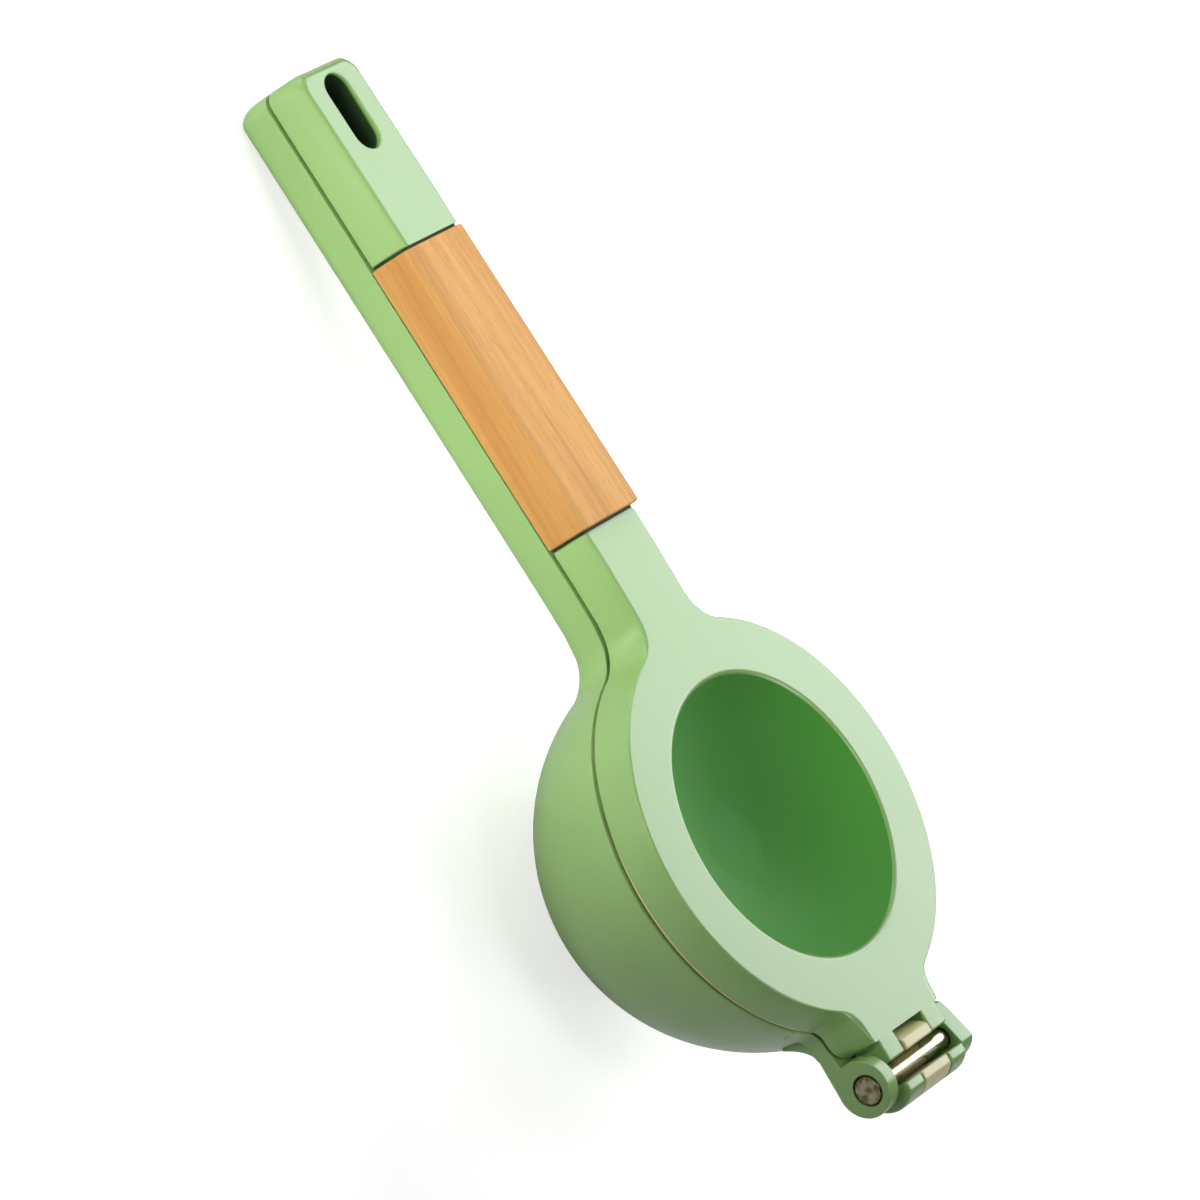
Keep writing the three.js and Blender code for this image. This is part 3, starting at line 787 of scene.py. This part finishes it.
def turned_steel(finishes):
    """Bright steel with fine lathe rings along Y; the pin's peened heads are tarnished in patches."""
    found = bpy.data.materials.get("Turned steel")
    if found:
        return found
    material, tree, shader = fresh_material("Turned steel")
    place = here(tree)
    stretched = made(tree, "ShaderNodeMapping", "Vector", {"Vector": place, "Scale": (40, 2600, 40)})
    rings = noise(tree, stretched, 1.0, 2.0)
    patches = graded(tree, noise(tree, place, 520, 1.5), 0.62, 0.42)
    from_middle = reckoned(tree, "ABSOLUTE", apart(tree, place)["Y"])
    head = graded(tree, from_middle, (EAR_OUTER - 1.6) * MM, (EAR_OUTER - 1.4) * MM)
    tarnish = reckoned(tree, "MULTIPLY", head, patches)
    steel = finishes.steel
    bright = mixed(tree, "RGBA", rings, opaque(steel, 0.82), opaque(steel))
    dull = (steel[0] * 0.36, steel[1] * 0.34, steel[2] * 0.2, 1)
    dressed(tree, shader, {
        "Base Color": mixed(tree, "RGBA", tarnish, bright, dull),
        "Roughness": graded(tree, rings, 0.0, 1.0, 0.16, 0.32),
        "Metallic": 1.0})
    with_bump(tree, shader, rings, 0.05, 0.1 * MM)
    return material


def beech(finishes, tilt):
    """Straight-grained beech with short dark flecks, and darker along its near side as painted shade."""
    material, tree, shader = fresh_material("Beech")
    place = here(tree)

    def grain(detail, along, across):
        inputs = {"Vector": place, "Rotation": (0, tilt, 0), "Scale": (1 / along, 1 / across, 1 / across)}
        stretched = made(tree, "ShaderNodeMapping", "Vector", inputs, vector_type="TEXTURE")
        return noise(tree, stretched, 1.0, detail)

    bands = graded(tree, grain(2.0, 5, 260), 0.32, 0.68)
    fibres = grain(3.0, 30, 2200)
    flecks = graded(tree, grain(1.0, 330, 2600), 0.58, 0.74, 0.0, 0.3)
    # The near flank is made darker than the rest, painted shade
    near_side_shade_edges = [(inward - HANDLE_HALF) * MM for inward in (1.4, 4.5)]
    near_side_shade = graded(tree, apart(tree, place)["Y"], *near_side_shade_edges, 0.7, 1.0, step="SMOOTHSTEP")
    tone = mixed(tree, "RGBA", bands, opaque(finishes.wood_dark), opaque(finishes.wood_light))
    fine = reckoned(tree, "MULTIPLY", near_side_shade, graded(tree, fibres, 0.3, 0.7, 0.9, 1.08))
    colour = mixed(tree, "RGBA", flecks, shaded(tree, tone, fine), opaque(finishes.wood_dark, 0.55))
    dressed(tree, shader, {
        "Base Color": colour,
        "Roughness": graded(tree, fibres, 0.0, 1.0, 0.48, 0.66),
        "Specular IOR Level": 0.35})
    with_bump(tree, shader, fibres, 0.12, 0.2 * MM)
    return material


# Pieces

class JUICER_OT_press_arm(bpy.types.Operator):
    """Upper casting: ring with a dish, neck, handle end, tang and two hooks"""

    bl_idname = "juicer.press_arm"
    bl_label = "Press arm"

    def execute(self, context):
        sizes = context.scene.juicer_sizes
        radius = sizes.bowl_radius / MM
        top_radius = sizes.ring_top_radius / MM
        seam_form = (GRIP_FRONT, radius, HANDLE_HALF, NECK_SEAM_FILLET, TAB_SEAM, GRIP_CORNER)
        top_form = (GRIP_FRONT + GRIP_FACE_LEAN, top_radius, HANDLE_TOP_HALF, NECK_TOP_FILLET, TAB_TOP,
                    GRIP_TOP_CORNER)
        seam = both_sides(ring_outline(*seam_form, 1), ring_outline(*seam_form, -1))
        top = both_sides(ring_outline(*top_form, 1), ring_outline(*top_form, -1))
        ring = bmesh.new()
        self.plate(ring, seam, top, self.dish(ring, sizes))
        seam = end_outline(HANDLE_END, HANDLE_HALF, GRIP_CORNER, END_CORNER)
        top = end_outline(HANDLE_END + END_LEAN, HANDLE_TOP_HALF + END_WIDER, GRIP_TOP_CORNER,
                          END_TOP_CORNER)
        rear = bmesh.new()
        self.plate(rear, both_sides(seam, seam), both_sides(top, top), self.slot(rear))
        inner, outer = PRESS_HOOK
        hooks = [press_hook(inner, outer), press_hook(-outer, -inner)]
        proud = sizes.grip_proud / MM
        reach = GRIP_END_GAP - 0.03
        ribs = [self.rib(GRIP_FRONT + RIB_ROOT, GRIP_FRONT - reach, proud),
                self.rib(GRIP_REAR - RIB_ROOT, GRIP_REAR + reach, proud)]
        joined = [cleaned(rear), tang_bar(past=3, room=0, below=0), *ribs, *hooks]
        whole = cut_and_joined(cleaned(ring), joined, [])
        paint = arm_paint(context.scene.juicer_finishes, sizes)
        piece(whole, "press_casting", "press_arm", "upper", paint, sizes)
        return {"FINISHED"}

    def plate(self, bm, seam, top, holes):
        """Flanks between the two outlines, with the top and the underside filled in round their holes."""
        rings = []
        for inward, level in ((0.3, press_bottom), (0.2, skirt_level)):
            ring = []
            for (x0, y0), (x1, y1) in zip(seam, top):
                x, y = x0 + (x1 - x0) * inward, y0 + (y1 - y0) * inward
                ring.append((x, y, level(x)))
            rings.append(ring)
        for inward, upward in flank_steps():
            ring = []
            for (x0, y0), (x1, y1) in zip(seam, top):
                along = end_share(upward) if x0 < TIP_START else inward
                x, y = x0 + (x1 - x0) * along, y0 + (y1 - y0) * inward
                ring.append((x, y, skirt_level(x) + (press_top(x) - skirt_level(x)) * upward))
            rings.append(ring)
        skirt, brim = skinned(bm, rings)
        self.cover(bm, brim + holes[0], 1, press_top, *TOP_CURVED)
        self.cover(bm, skirt + holes[1], -1, press_bottom, *UNDERSIDE_CURVED)

    def cover(self, bm, edges, up, level, low, high):
        """Fills a face of the plate in, cuts it across and sets it on the plate's slow curve."""
        before = set(bm.faces)
        bmesh.ops.triangle_fill(bm, use_beauty=True, use_dissolve=False, edges=edges, normal=(0, 0, up))
        faces = [f for f in bm.faces if f not in before]
        steps = 24
        for i in range(steps + 1):
            x = low + (high - low) * i / steps
            geom = [*faces, *{e for f in faces for e in f.edges}, *{v for f in faces for v in f.verts}]
            cut = bmesh.ops.bisect_plane(bm, geom=geom, plane_co=(x, 0, 0), plane_no=(1, 0, 0), dist=1e-4)
            faces = [g for g in cut["geom"] if isinstance(g, bmesh.types.BMFace)]
        for vert in {v for f in faces for v in f.verts}:
            vert.co.z = level(vert.co.x)

    def dish(self, bm, sizes):
        """The dish and the dome under it; returns their rims on the ring's two faces."""
        steps = sizes.round_steps
        mouth, depth, lip, floor, wall = sizes.dish_radius / MM, sizes.dish_depth / MM, 1.2, 8.3, 3.0
        drop = 0.44
        centre = (mouth ** 2 - floor ** 2 + drop ** 2 - depth ** 2) / (2 * (depth - drop))
        ball = math.hypot(floor, centre + depth)
        start = math.degrees(math.atan2(-drop - centre, mouth))
        end = math.degrees(math.atan2(-depth - centre, floor))
        slope = math.asin(mouth / ball)
        middle = mouth + lip * math.sin(slope)
        edge = arc((middle, -lip), lip, 90, 90 + math.degrees(slope), 9)
        side = arc((0, centre), ball, start, end, 26)
        sunk = -depth - 0.05
        profile = [*edge, *side[1:], (floor * 0.96, sunk), (0, sunk)]
        spun(bm, [(r, 0, z) for r, z in profile], steps)
        for vert in bm.verts:
            vert.co.z += press_top(vert.co.x) * smooth_step(vert.co.z, RING_BOTTOM, 0.0)
        outer = ball + wall
        foot = math.sqrt(outer ** 2 - (RING_BOTTOM - centre) ** 2)
        low = math.sqrt(outer ** 2 - (depth + wall + centre) ** 2)
        under = arc((0, centre), outer, math.degrees(math.atan2(RING_BOTTOM - centre, foot)),
                    math.degrees(math.atan2(-depth - wall - centre, low)), 20)
        spun(bm, [(r, 0, z) for r, z in [*under, (0, -depth - wall)]], steps)
        bmesh.ops.remove_doubles(bm, verts=bm.verts, dist=MERGE)
        return rim_edges(bm, middle, press_top), rim_edges(bm, foot, press_bottom)

    def slot(self, bm):
        """The hang slot's wall, rounded at both faces; returns its rims."""
        profile = [(0.35, 0.0), (0.21, 0.03), (0.1, 0.1), (0.03, 0.21), (0.0, 0.35)]
        levels = [(grow, lambda x, d=drop: press_top(x) - d) for grow, drop in profile]
        levels += [(grow, lambda x, d=drop: press_bottom(x) + d * 0.5) for grow, drop in reversed(profile)]
        return skinned(bm, [[(x, y, level(x)) for x, y in slot_outline(SLOT_WIDTH / 2 + grow)]
                            for grow, level in levels])

    def rib(self, start, end, proud):
        """Closes the narrow gap at an end of the wood, set back from its outside."""
        rings = [grip_ring(x, RIB_INSET, proud * RIB_PROUD) for x in (start, end)]
        return solid(lambda bm: capped(bm, rings))


class JUICER_OT_bowl_arm(bpy.types.Operator):
    """Lower casting: bowl with drain holes, neck, ribbed handle and two hinge ears"""

    bl_idname = "juicer.bowl_arm"
    bl_label = "Bowl arm"

    def execute(self, context):
        sizes = context.scene.juicer_sizes
        radius = sizes.bowl_radius / MM
        inner = radius - sizes.bowl_wall / MM
        steps = sizes.round_steps
        bowl = solid(lambda bm: self.bowl(bm, radius, inner, steps))
        handle = solid(lambda bm: self.handle(bm, radius))
        web = solid(lambda bm: self.web(bm, radius, inner))
        drain = drain_holes(radius, BOWL_HOLE_SPACING, BOWL_HOLE_RADIUS, 24)
        cuts = [drain, self.pockets(), self.slot(), self.channel(inner), self.pin_seats()]
        hinge = [ear(-1), ear(1), self.gusset(-1), self.gusset(1)]
        whole = cut_and_joined(bowl, [handle, web, *hinge], cuts)
        paint = arm_paint(context.scene.juicer_finishes, sizes)
        piece(whole, "bowl_casting", "bowl_arm", "lower", paint, sizes)
        return {"FINISHED"}

    def bowl(self, bm, radius, inner, steps):
        """A turned half ball with a narrow lip."""
        outside = arc((0, RIM_LEVEL), radius, -90, -0.5, 40)
        lip = [(radius - 0.12, RIM_LEVEL - 0.12), (radius - 0.4, RIM_LEVEL), (inner + 0.3, RIM_LEVEL)]
        inside = arc((0, RIM_LEVEL), inner, 0, -90, 30)
        points = [*outside, *lip, *inside]
        spun(bm, [(max(0, r), 0, z) for r, z in points], steps)

    def section(self, eased):
        """Half of a cut through the handle, from the middle of its underside to its parting face."""
        half, deep = HANDLE_HALF - eased, BOWL_HANDLE_THICKNESS - eased
        corner = arc((half - BOWL_HANDLE_EDGE, BOWL_HANDLE_EDGE - deep), BOWL_HANDLE_EDGE, -90, 0, 8)
        flat = [(corner[0][0] * k / 4, -deep) for k in range(4)]
        low = corner[-1][1]
        side = [(half, low - (0.35 + low) * k / 4) for k in (1, 2, 3, 4)]
        return [*flat, *corner, *side, (half - 0.1, -0.1), (half - 0.35, 0.0)]

    def neck_point(self, y, z, radius, share):
        """Where a line of the handle is on its way from the straight part, 0, to the bowl, 1."""
        reach = math.hypot(y, z)
        fillet = NECK_SEAM_FILLET + NECK_UNDER_FILLET * (z / reach) ** 2
        far = math.sqrt((radius + fillet) ** 2 - (reach + fillet) ** 2)
        meet = math.atan2(reach + fillet, far)
        if share > 1:
            tucked, angle = radius - 1, meet + 0.03
            x, out = -tucked * math.cos(angle), tucked * math.sin(angle)
        else:
            angle = -math.pi / 2 + (math.pi / 2 - meet) * share
            x, out = -far + fillet * math.cos(angle), reach + fillet * (1 + math.sin(angle))
        return x, y / reach * out, z / reach * out

    def closed_ring(self, half):
        """A whole ring from half a section of (x, y, z) points, with z below the parting face."""
        x, across, _ = half[-1]
        half = [*half, *[(x, across * (1 - k / 5), 0.0) for k in range(1, 6)]]
        whole = [*half, *[(x, -y, z) for x, y, z in reversed(half[1:-1])]]
        return [(x, y, z + parting_level(x) - SEAM_GAP) for x, y, z in whole]

    def handle(self, bm, radius):
        """Lofted from inside the bowl's wall, with fillets that flow out of the bowl, to the rounded end."""
        rings = []
        for share in (2.0, *[1 - i / 14 for i in range(15)]):
            half = [self.neck_point(y, z, radius, share) for y, z in self.section(0.0)]
            rings.append(self.closed_ring(half))
        straight = (-52.5, -56, -60, -66, -80, -110, -140, -160, -168)
        for x in straight:
            rings.append(self.closed_ring([(x, y, z) for y, z in self.section(0.0)]))
        for i in range(10):
            turn = math.radians(90 - 10 * i)
            x = HANDLE_END + BOWL_HANDLE_EDGE * (1 - math.cos(turn))
            eased = BOWL_HANDLE_EDGE * (1 - math.sin(turn))
            rings.append(self.closed_ring([(x, y, z) for y, z in self.section(eased)]))
        for ring in skinned(bm, rings):
            bmesh.ops.triangle_fill(bm, use_beauty=True, edges=ring)

    def web(self, bm, radius, inner):
        """Shelf under the hinge tab that carries the ears."""
        lowered, in_wall, in_rim, longer = 1.2, 0.9, 0.98, 0.9
        low, high = EAR_CENTRE[1] - EAR_RADIUS, RING_BOTTOM - lowered
        start = inner + in_wall
        sides = []
        for side in (1, -1):
            plan = resampled(tab_outline(radius, EAR_OUTER, *TAB_SEAM[side][1:], side * HINGE_ASIDE), 24)
            plan[0] = (plan[0][0] * in_rim, plan[0][1] * in_rim)
            sides.append([(x + longer * smooth_step(x, 45.0, TAB_END), side * y) for x, y in plan])
        front = [(math.sqrt(start ** 2 - y * y), y) for y in (-18, -12, -6, 0, 6, 12, 18)]
        column(bm, [*sides[0], *reversed(sides[1]), *front], low, high)

    def gusset(self, side):
        """Fills the slit between an ear and a press hook below the pin."""
        rear, front, room, overlap, raised, lowered = 46.0, 51.2, 0.25, 0.4, 0.8, 1.4
        reaches = (PRESS_HOOK[1] + room, EAR_INNER + overlap)
        outline = rectangle(rear, front, *sorted(side * reach + HINGE_ASIDE for reach in reaches))
        low, high = EAR_CENTRE[1] - EAR_RADIUS + raised, RING_BOTTOM - lowered
        return solid(lambda bm: column(bm, outline, low, high))

    def pockets(self):
        """Hollows in the handle's inner face, with ribs between them."""
        def build(bm):
            count, rib, corner, side_wall, floor_wall, end_wall = 4, 2.4, 2.5, 3.2, 3.4, 4
            front, rear = HANDLE_START - end_wall, SLOT_CENTRE + SLOT_LENGTH / 2 + end_wall
            cell = (front - rear - rib * (count - 1)) / count
            half = HANDLE_HALF - side_wall
            for i in range(count):
                high = front - i * (cell + rib)
                low = high - cell
                outline = [*arc((high - corner, half - corner), corner, 0, 90, 6),
                           *arc((low + corner, half - corner), corner, 90, 180, 6),
                           *arc((low + corner, corner - half), corner, 180, 270, 6),
                           *arc((high - corner, corner - half), corner, 270, 360, 6)]
                floor = parting_level(high) - SEAM_GAP - BOWL_HANDLE_THICKNESS + floor_wall
                column(bm, outline, floor, CLEAR_ABOVE)
        return solid(build)

    def slot(self):
        """The hang slot, right through the handle."""
        return solid(lambda bm: column(bm, slot_outline(SLOT_WIDTH / 2), CLEAR_BELOW, CLEAR_ABOVE))

    def channel(self, inner):
        """Room for the cup's lug through the rim and the shelf."""
        room, inward = 0.4, 6
        half = CUP_HOOK_HALF + room
        outline = rectangle(inner - inward, PIN.x, HINGE_ASIDE - half, HINGE_ASIDE + half)
        return solid(lambda bm: column(bm, outline, FLANGE_TOP - CUP_LUG_DEPTH - SEAM_GAP, CLEAR_ABOVE))

    def pin_seats(self):
        """Bores for the pin and its heads in the ears."""
        reach, deep = EAR_OUTER + 3, 1.5
        shaft, head, far_head = [size + PIN_ROOM for size in (PIN_RADIUS, PIN_HEAD_RADIUS, PIN_FAR_HEAD)]
        profile = [(0, -reach), (head, -reach), (head, -EAR_OUTER + deep), (shaft, -EAR_OUTER + deep),
                   (shaft, EAR_OUTER - deep), (far_head, EAR_OUTER - deep), (far_head, reach), (0, reach)]
        points = [(PIN.x + r, y + HINGE_ASIDE, PIN.z) for r, y in profile]
        return solid(lambda bm: spun(bm, points, 40, centre=PIN, axis=(0, 1, 0)))


class JUICER_OT_strainer_cup(bpy.types.Operator):
    """Cream cup with a thin flange, drain holes and one hook on the pin"""

    bl_idname = "juicer.strainer_cup"
    bl_label = "Strainer cup"

    def execute(self, context):
        sizes = context.scene.juicer_sizes
        inner = CUP_RADIUS - CUP_WALL
        shell = solid(lambda bm: self.shell(bm, inner, sizes.round_steps))
        drain = drain_holes(CUP_RADIUS, CUP_HOLE_SPACING, CUP_HOLE_RADIUS, 18)
        whole = cut_and_joined(shell, [self.hook(inner)], [drain])
        paint = cream_paint(context.scene.juicer_finishes)
        piece(whole, "cup_casting", "strainer_cup", "cup", paint, sizes)
        return {"FINISHED"}

    def shell(self, bm, inner, steps):
        """A turned half ball with a thin flange, which sits a little towards the hinge."""
        outside = arc((0, RIM_LEVEL), CUP_RADIUS, -90, 0, 30)
        flange = [(CUP_RADIUS, FLANGE_BOTTOM), (FLANGE_RADIUS - 0.2, FLANGE_BOTTOM),
                  (FLANGE_RADIUS, FLANGE_BOTTOM + 0.25), (FLANGE_RADIUS, FLANGE_TOP - 0.25),
                  (FLANGE_RADIUS - 0.2, FLANGE_TOP), (inner + 0.3, FLANGE_TOP), (inner, FLANGE_TOP - 0.3)]
        inside = arc((0, RIM_LEVEL), inner, 0, -90, 26)
        spun(bm, [(max(0, r), 0, z) for r, z in [*outside, *flange, *inside]], steps)
        for vert in bm.verts:
            out = smooth_step(vert.co.xy.length, CUP_RADIUS + 0.5, FLANGE_RADIUS - 0.5)
            vert.co.x += FLANGE_SHIFT * out

    def hook(self, inner):
        """The lug off the flange that ends in an open hook."""
        start, under = inner + 0.5, FLANGE_TOP - CUP_LUG_DEPTH
        mouth, outside = hook_outline(under)
        crest = 180 - math.degrees(math.asin((HOOK_CREST - PIN.z) / HOOK_RADIUS))
        foot = 180 + math.degrees(math.asin((PIN.z - FLANGE_TOP) / HOOK_RADIUS))
        inboard = arc((PIN.x, PIN.z), HOOK_RADIUS, foot, crest, 10)
        outline = [(start, FLANGE_TOP), *inboard, (mouth[0][0], HOOK_CREST), *mouth,
                   (mouth[-1][0], HOOK_CREST), *outside, (start, under)]
        near, far = HINGE_ASIDE - CUP_HOOK_HALF, HINGE_ASIDE + CUP_HOOK_HALF
        return rounded_prism(outline, near, far, CUP_HOOK_ROUND)


class JUICER_OT_hinge_pin(bpy.types.Operator):
    """Bright pin with a low domed head at each end"""

    bl_idname = "juicer.hinge_pin"
    bl_label = "Hinge pin"

    def execute(self, context):
        sizes = context.scene.juicer_sizes
        head = EAR_OUTER - 1.2
        points = []
        for side, wide in ((-1, PIN_HEAD_RADIUS), (1, PIN_FAR_HEAD)):
            half = [(PIN_RADIUS, head), (wide - 0.2, head), (wide, head + 0.2), (wide, EAR_OUTER - 0.25),
                    (wide - 0.25, EAR_OUTER + 0.02), (wide - 0.9, EAR_OUTER + 0.12),
                    (wide - 1.2, EAR_OUTER + 0.26), (wide - 2.1, EAR_OUTER + 0.3), (0.0, EAR_OUTER + 0.3)]
            end = [(PIN.x + r, side * y + HINGE_ASIDE, PIN.z) for r, y in half]
            points += end if side > 0 else reversed(end)
        bm = solid(lambda work: spun(work, points, 64, centre=PIN, axis=(0, 1, 0)))
        steel = turned_steel(context.scene.juicer_finishes)
        piece(bm, "pin", "hinge_pin", "lower", steel, sizes, sharp=30)
        return {"FINISHED"}


class JUICER_OT_wood_grip(bpy.types.Operator):
    """Beech saddle on the press arm's handle"""

    bl_idname = "juicer.wood_grip"
    bl_label = "Wood grip"

    def execute(self, context):
        sizes = context.scene.juicer_sizes
        saddle = solid(lambda bm: self.saddle(bm, sizes.grip_proud / MM))
        whole = cut_and_joined(saddle, [], [tang_bar(past=4, room=0.3, below=3)])
        wood = beech(context.scene.juicer_finishes, sizes.rest_tilt)
        piece(whole, "grip", "wood_grip", "upper", wood, sizes, sharp=40)
        return {"FINISHED"}

    def saddle(self, bm, proud):
        """Lofted along the handle, with eased ends."""
        front, rear = GRIP_FRONT - GRIP_END_GAP, GRIP_REAR + GRIP_END_GAP
        ease = 0.45
        places = [(front, ease), (front - 0.12, ease * 0.4), (front - ease, 0.0)]
        places += [(front - ease - (front - rear - 2 * ease) * i / 6, 0.0) for i in range(1, 6)]
        places += [(rear + ease, 0.0), (rear + 0.12, ease * 0.4), (rear, ease)]
        capped(bm, [grip_ring(x, inset, proud) for x, inset in places])


class JUICER_OT_grip_screws(bpy.types.Operator):
    """Countersunk screws that hold the wood from the handle's hidden face"""

    bl_idname = "juicer.grip_screws"
    bl_label = "Grip screws"

    def execute(self, context):
        sizes = context.scene.juicer_sizes
        steel = turned_steel(context.scene.juicer_finishes)
        head, shank, cross_reach, cross_half = 3.0, 1.5, 1.9, 0.35
        for end, x in SCREW_PLACES.items():
            foot = parting_level(x) + 0.3
            profile = [(0.0, foot), (head - 0.15, foot), (head, foot + 0.15), (shank + 0.1, foot + 1.5),
                       (shank, foot + 1.7), (shank, foot + 5.9), (0.0, foot + 7.4)]
            body = solid(lambda bm: spun(bm, [(x + r, 0, z) for r, z in profile], 40, centre=(x, 0, 0)))
            cross = []
            for long, wide in ((cross_reach, cross_half), (cross_half, cross_reach)):
                plan = rectangle(x - long, x + long, -wide, wide)
                cross.append(solid(lambda bm, p=plan: column(bm, p, foot - 1, foot + 0.9)))
            whole = cut_and_joined(body, [], cross)
            piece(whole, f"screw_{end}", f"grip_screw_{end}", "upper", steel, sizes)
        return {"FINISHED"}


class JUICER_OT_stage(bpy.types.Operator):
    """White floor, soft lamps and the camera"""

    bl_idname = "juicer.stage"
    bl_label = "Stage"

    def execute(self, context):
        stage = context.scene.juicer_stage
        frame_turn = placing(context.scene.juicer_sizes)
        self.floor(stage)
        self.camera(context, stage, frame_turn)
        self.lamps(frame_turn)
        self.world(context, stage)
        context.scene.view_settings.view_transform = "Standard"
        return {"FINISHED"}

    def floor(self, stage):
        """A pale floor; a little glow to the camera alone brings it to white outside the shadow."""
        bm = bmesh.new()
        bmesh.ops.create_grid(bm, x_segments=1, y_segments=1, size=3.0)
        floor = as_object(bm, "floor")
        material, tree, shader = fresh_material("White floor")
        to_camera = made(tree, "ShaderNodeLightPath", "Is Camera Ray", {})
        dressed(tree, shader, {
            "Base Color": (*[stage.floor_shade] * 3, 1),
            "Roughness": 1.0,
            "Specular IOR Level": 0.0,
            "Emission Color": (1, 1, 1, 1),
            "Emission Strength": reckoned(tree, "MULTIPLY", to_camera, stage.white)})
        floor.data.materials.append(material)

    def camera(self, context, stage, frame_turn):
        """The picture is turned about the line of sight, so that the juicer lies across it."""
        az, el = stage.azimuth, stage.elevation
        toward = Vector((math.sin(az) * math.cos(el), -math.cos(az) * math.cos(el), math.sin(el)))
        right = Vector((math.cos(az), math.sin(az), 0))
        up = toward.cross(right)
        eye = right * stage.offset[0] + up * stage.offset[1] + toward * stage.distance
        side = right * math.cos(stage.roll) + up * math.sin(stage.roll)
        head = up * math.cos(stage.roll) - right * math.sin(stage.roll)
        turn = frame_turn.to_3x3().normalized()
        data = bpy.data.cameras.new("camera")
        data.lens = stage.lens
        data.sensor_width = 36
        data.clip_start, data.clip_end = 0.05, 20
        camera = bpy.data.objects.new("camera", data)
        axes = Matrix((turn @ side, turn @ head, turn @ toward)).transposed()
        camera.matrix_world = Matrix.Translation(frame_turn.translation + turn @ eye) @ axes.to_4x4()
        context.scene.collection.objects.link(camera)
        context.scene.camera = camera

    def lamps(self, frame_turn):
        """Soft discs, each aimed at a point of the drawing; the two close ones leave no glints."""
        body, handle, wood = (-40, 0, -10), (-108, -12, -10), (-120, 0, 5)
        cool, plain, warm = (0.95, 0.99, 1.0), (1.0, 1.0, 1.0), (1.0, 0.97, 0.88)
        for name, aim, azimuth, elevation, distance, size, spread, power, colour, glints in (
                ("back", body, 180, 28, 1.6, 0.8, 180, 7.6, cool, True),
                ("back left", body, 210, 28, 1.6, 0.8, 180, 6.2, cool, True),
                ("right above", body, 100, 55, 1.6, 0.8, 180, 5.4, plain, True),
                ("above", body, 0, 70, 1.2, 0.28, 180, 1.5, plain, True),
                ("left", body, 268, 10, 1.6, 0.9, 180, 4.6, plain, True),
                ("by the handle", handle, 335, 8, 0.24, 0.22, 50, 0.16, warm, False),
                ("above the wood", wood, 200, 75, 0.5, 0.3, 40, 0.055, plain, False)):
            data = bpy.data.lights.new(name, "AREA")
            data.shape = "DISK"
            data.size = size
            data.spread = math.radians(spread)
            data.energy = power
            data.color = colour
            lamp = bpy.data.objects.new(name, data)
            az, el = math.radians(azimuth), math.radians(elevation)
            away = Vector((math.sin(az) * math.cos(el), -math.cos(az) * math.cos(el), math.sin(el)))
            lamp.location = frame_turn @ Vector(aim) + away * distance
            lamp.rotation_euler = (-away).to_track_quat("-Z", "Y").to_euler()
            lamp.visible_glossy = glints
            bpy.context.scene.collection.objects.link(lamp)

    def world(self, context, stage):
        """Faint even light from all sides."""
        world = bpy.data.worlds.new("studio")
        world.use_nodes = True
        plain = world.node_tree.nodes["Background"]
        plain.inputs["Color"].default_value = (1, 1, 1, 1)
        plain.inputs["Strength"].default_value = stage.surround
        context.scene.world = world


class JUICER_PT_panel(bpy.types.Panel):
    """Builds the juicer piece by piece"""

    bl_idname = "JUICER_PT_panel"
    bl_label = "Hand Citrus Juicer"
    bl_space_type = "VIEW_3D"
    bl_region_type = "UI"
    bl_category = "Juicer"

    def draw(self, context):
        for operator in OPERATORS:
            self.layout.operator(operator.bl_idname)
        for group_name in GROUPS:
            group = getattr(context.scene, group_name)
            box = self.layout.box()
            for name in group.bl_rna.properties.keys():
                if name not in {"rna_type", "name"}:
                    box.prop(group, name)


OPERATORS = (JUICER_OT_press_arm, JUICER_OT_bowl_arm, JUICER_OT_strainer_cup, JUICER_OT_hinge_pin,
             JUICER_OT_wood_grip, JUICER_OT_grip_screws, JUICER_OT_stage)
CLASSES = (JuicerSizes, JuicerFinishes, JuicerStage, *OPERATORS, JUICER_PT_panel)
GROUPS = {"juicer_sizes": JuicerSizes, "juicer_finishes": JuicerFinishes, "juicer_stage": JuicerStage}


def register():
    for cls in CLASSES:
        bpy.utils.register_class(cls)
    for name, group in GROUPS.items():
        setattr(bpy.types.Scene, name, PointerProperty(type=group))


def unregister():
    for name in GROUPS:
        delattr(bpy.types.Scene, name)
    for cls in reversed(CLASSES):
        bpy.utils.unregister_class(cls)


def main():
    register()
    bpy.ops.juicer.press_arm()
    bpy.ops.juicer.bowl_arm()
    bpy.ops.juicer.strainer_cup()
    bpy.ops.juicer.hinge_pin()
    bpy.ops.juicer.wood_grip()
    bpy.ops.juicer.grip_screws()
    bpy.ops.juicer.stage()


if __name__ == "__main__":
    main()
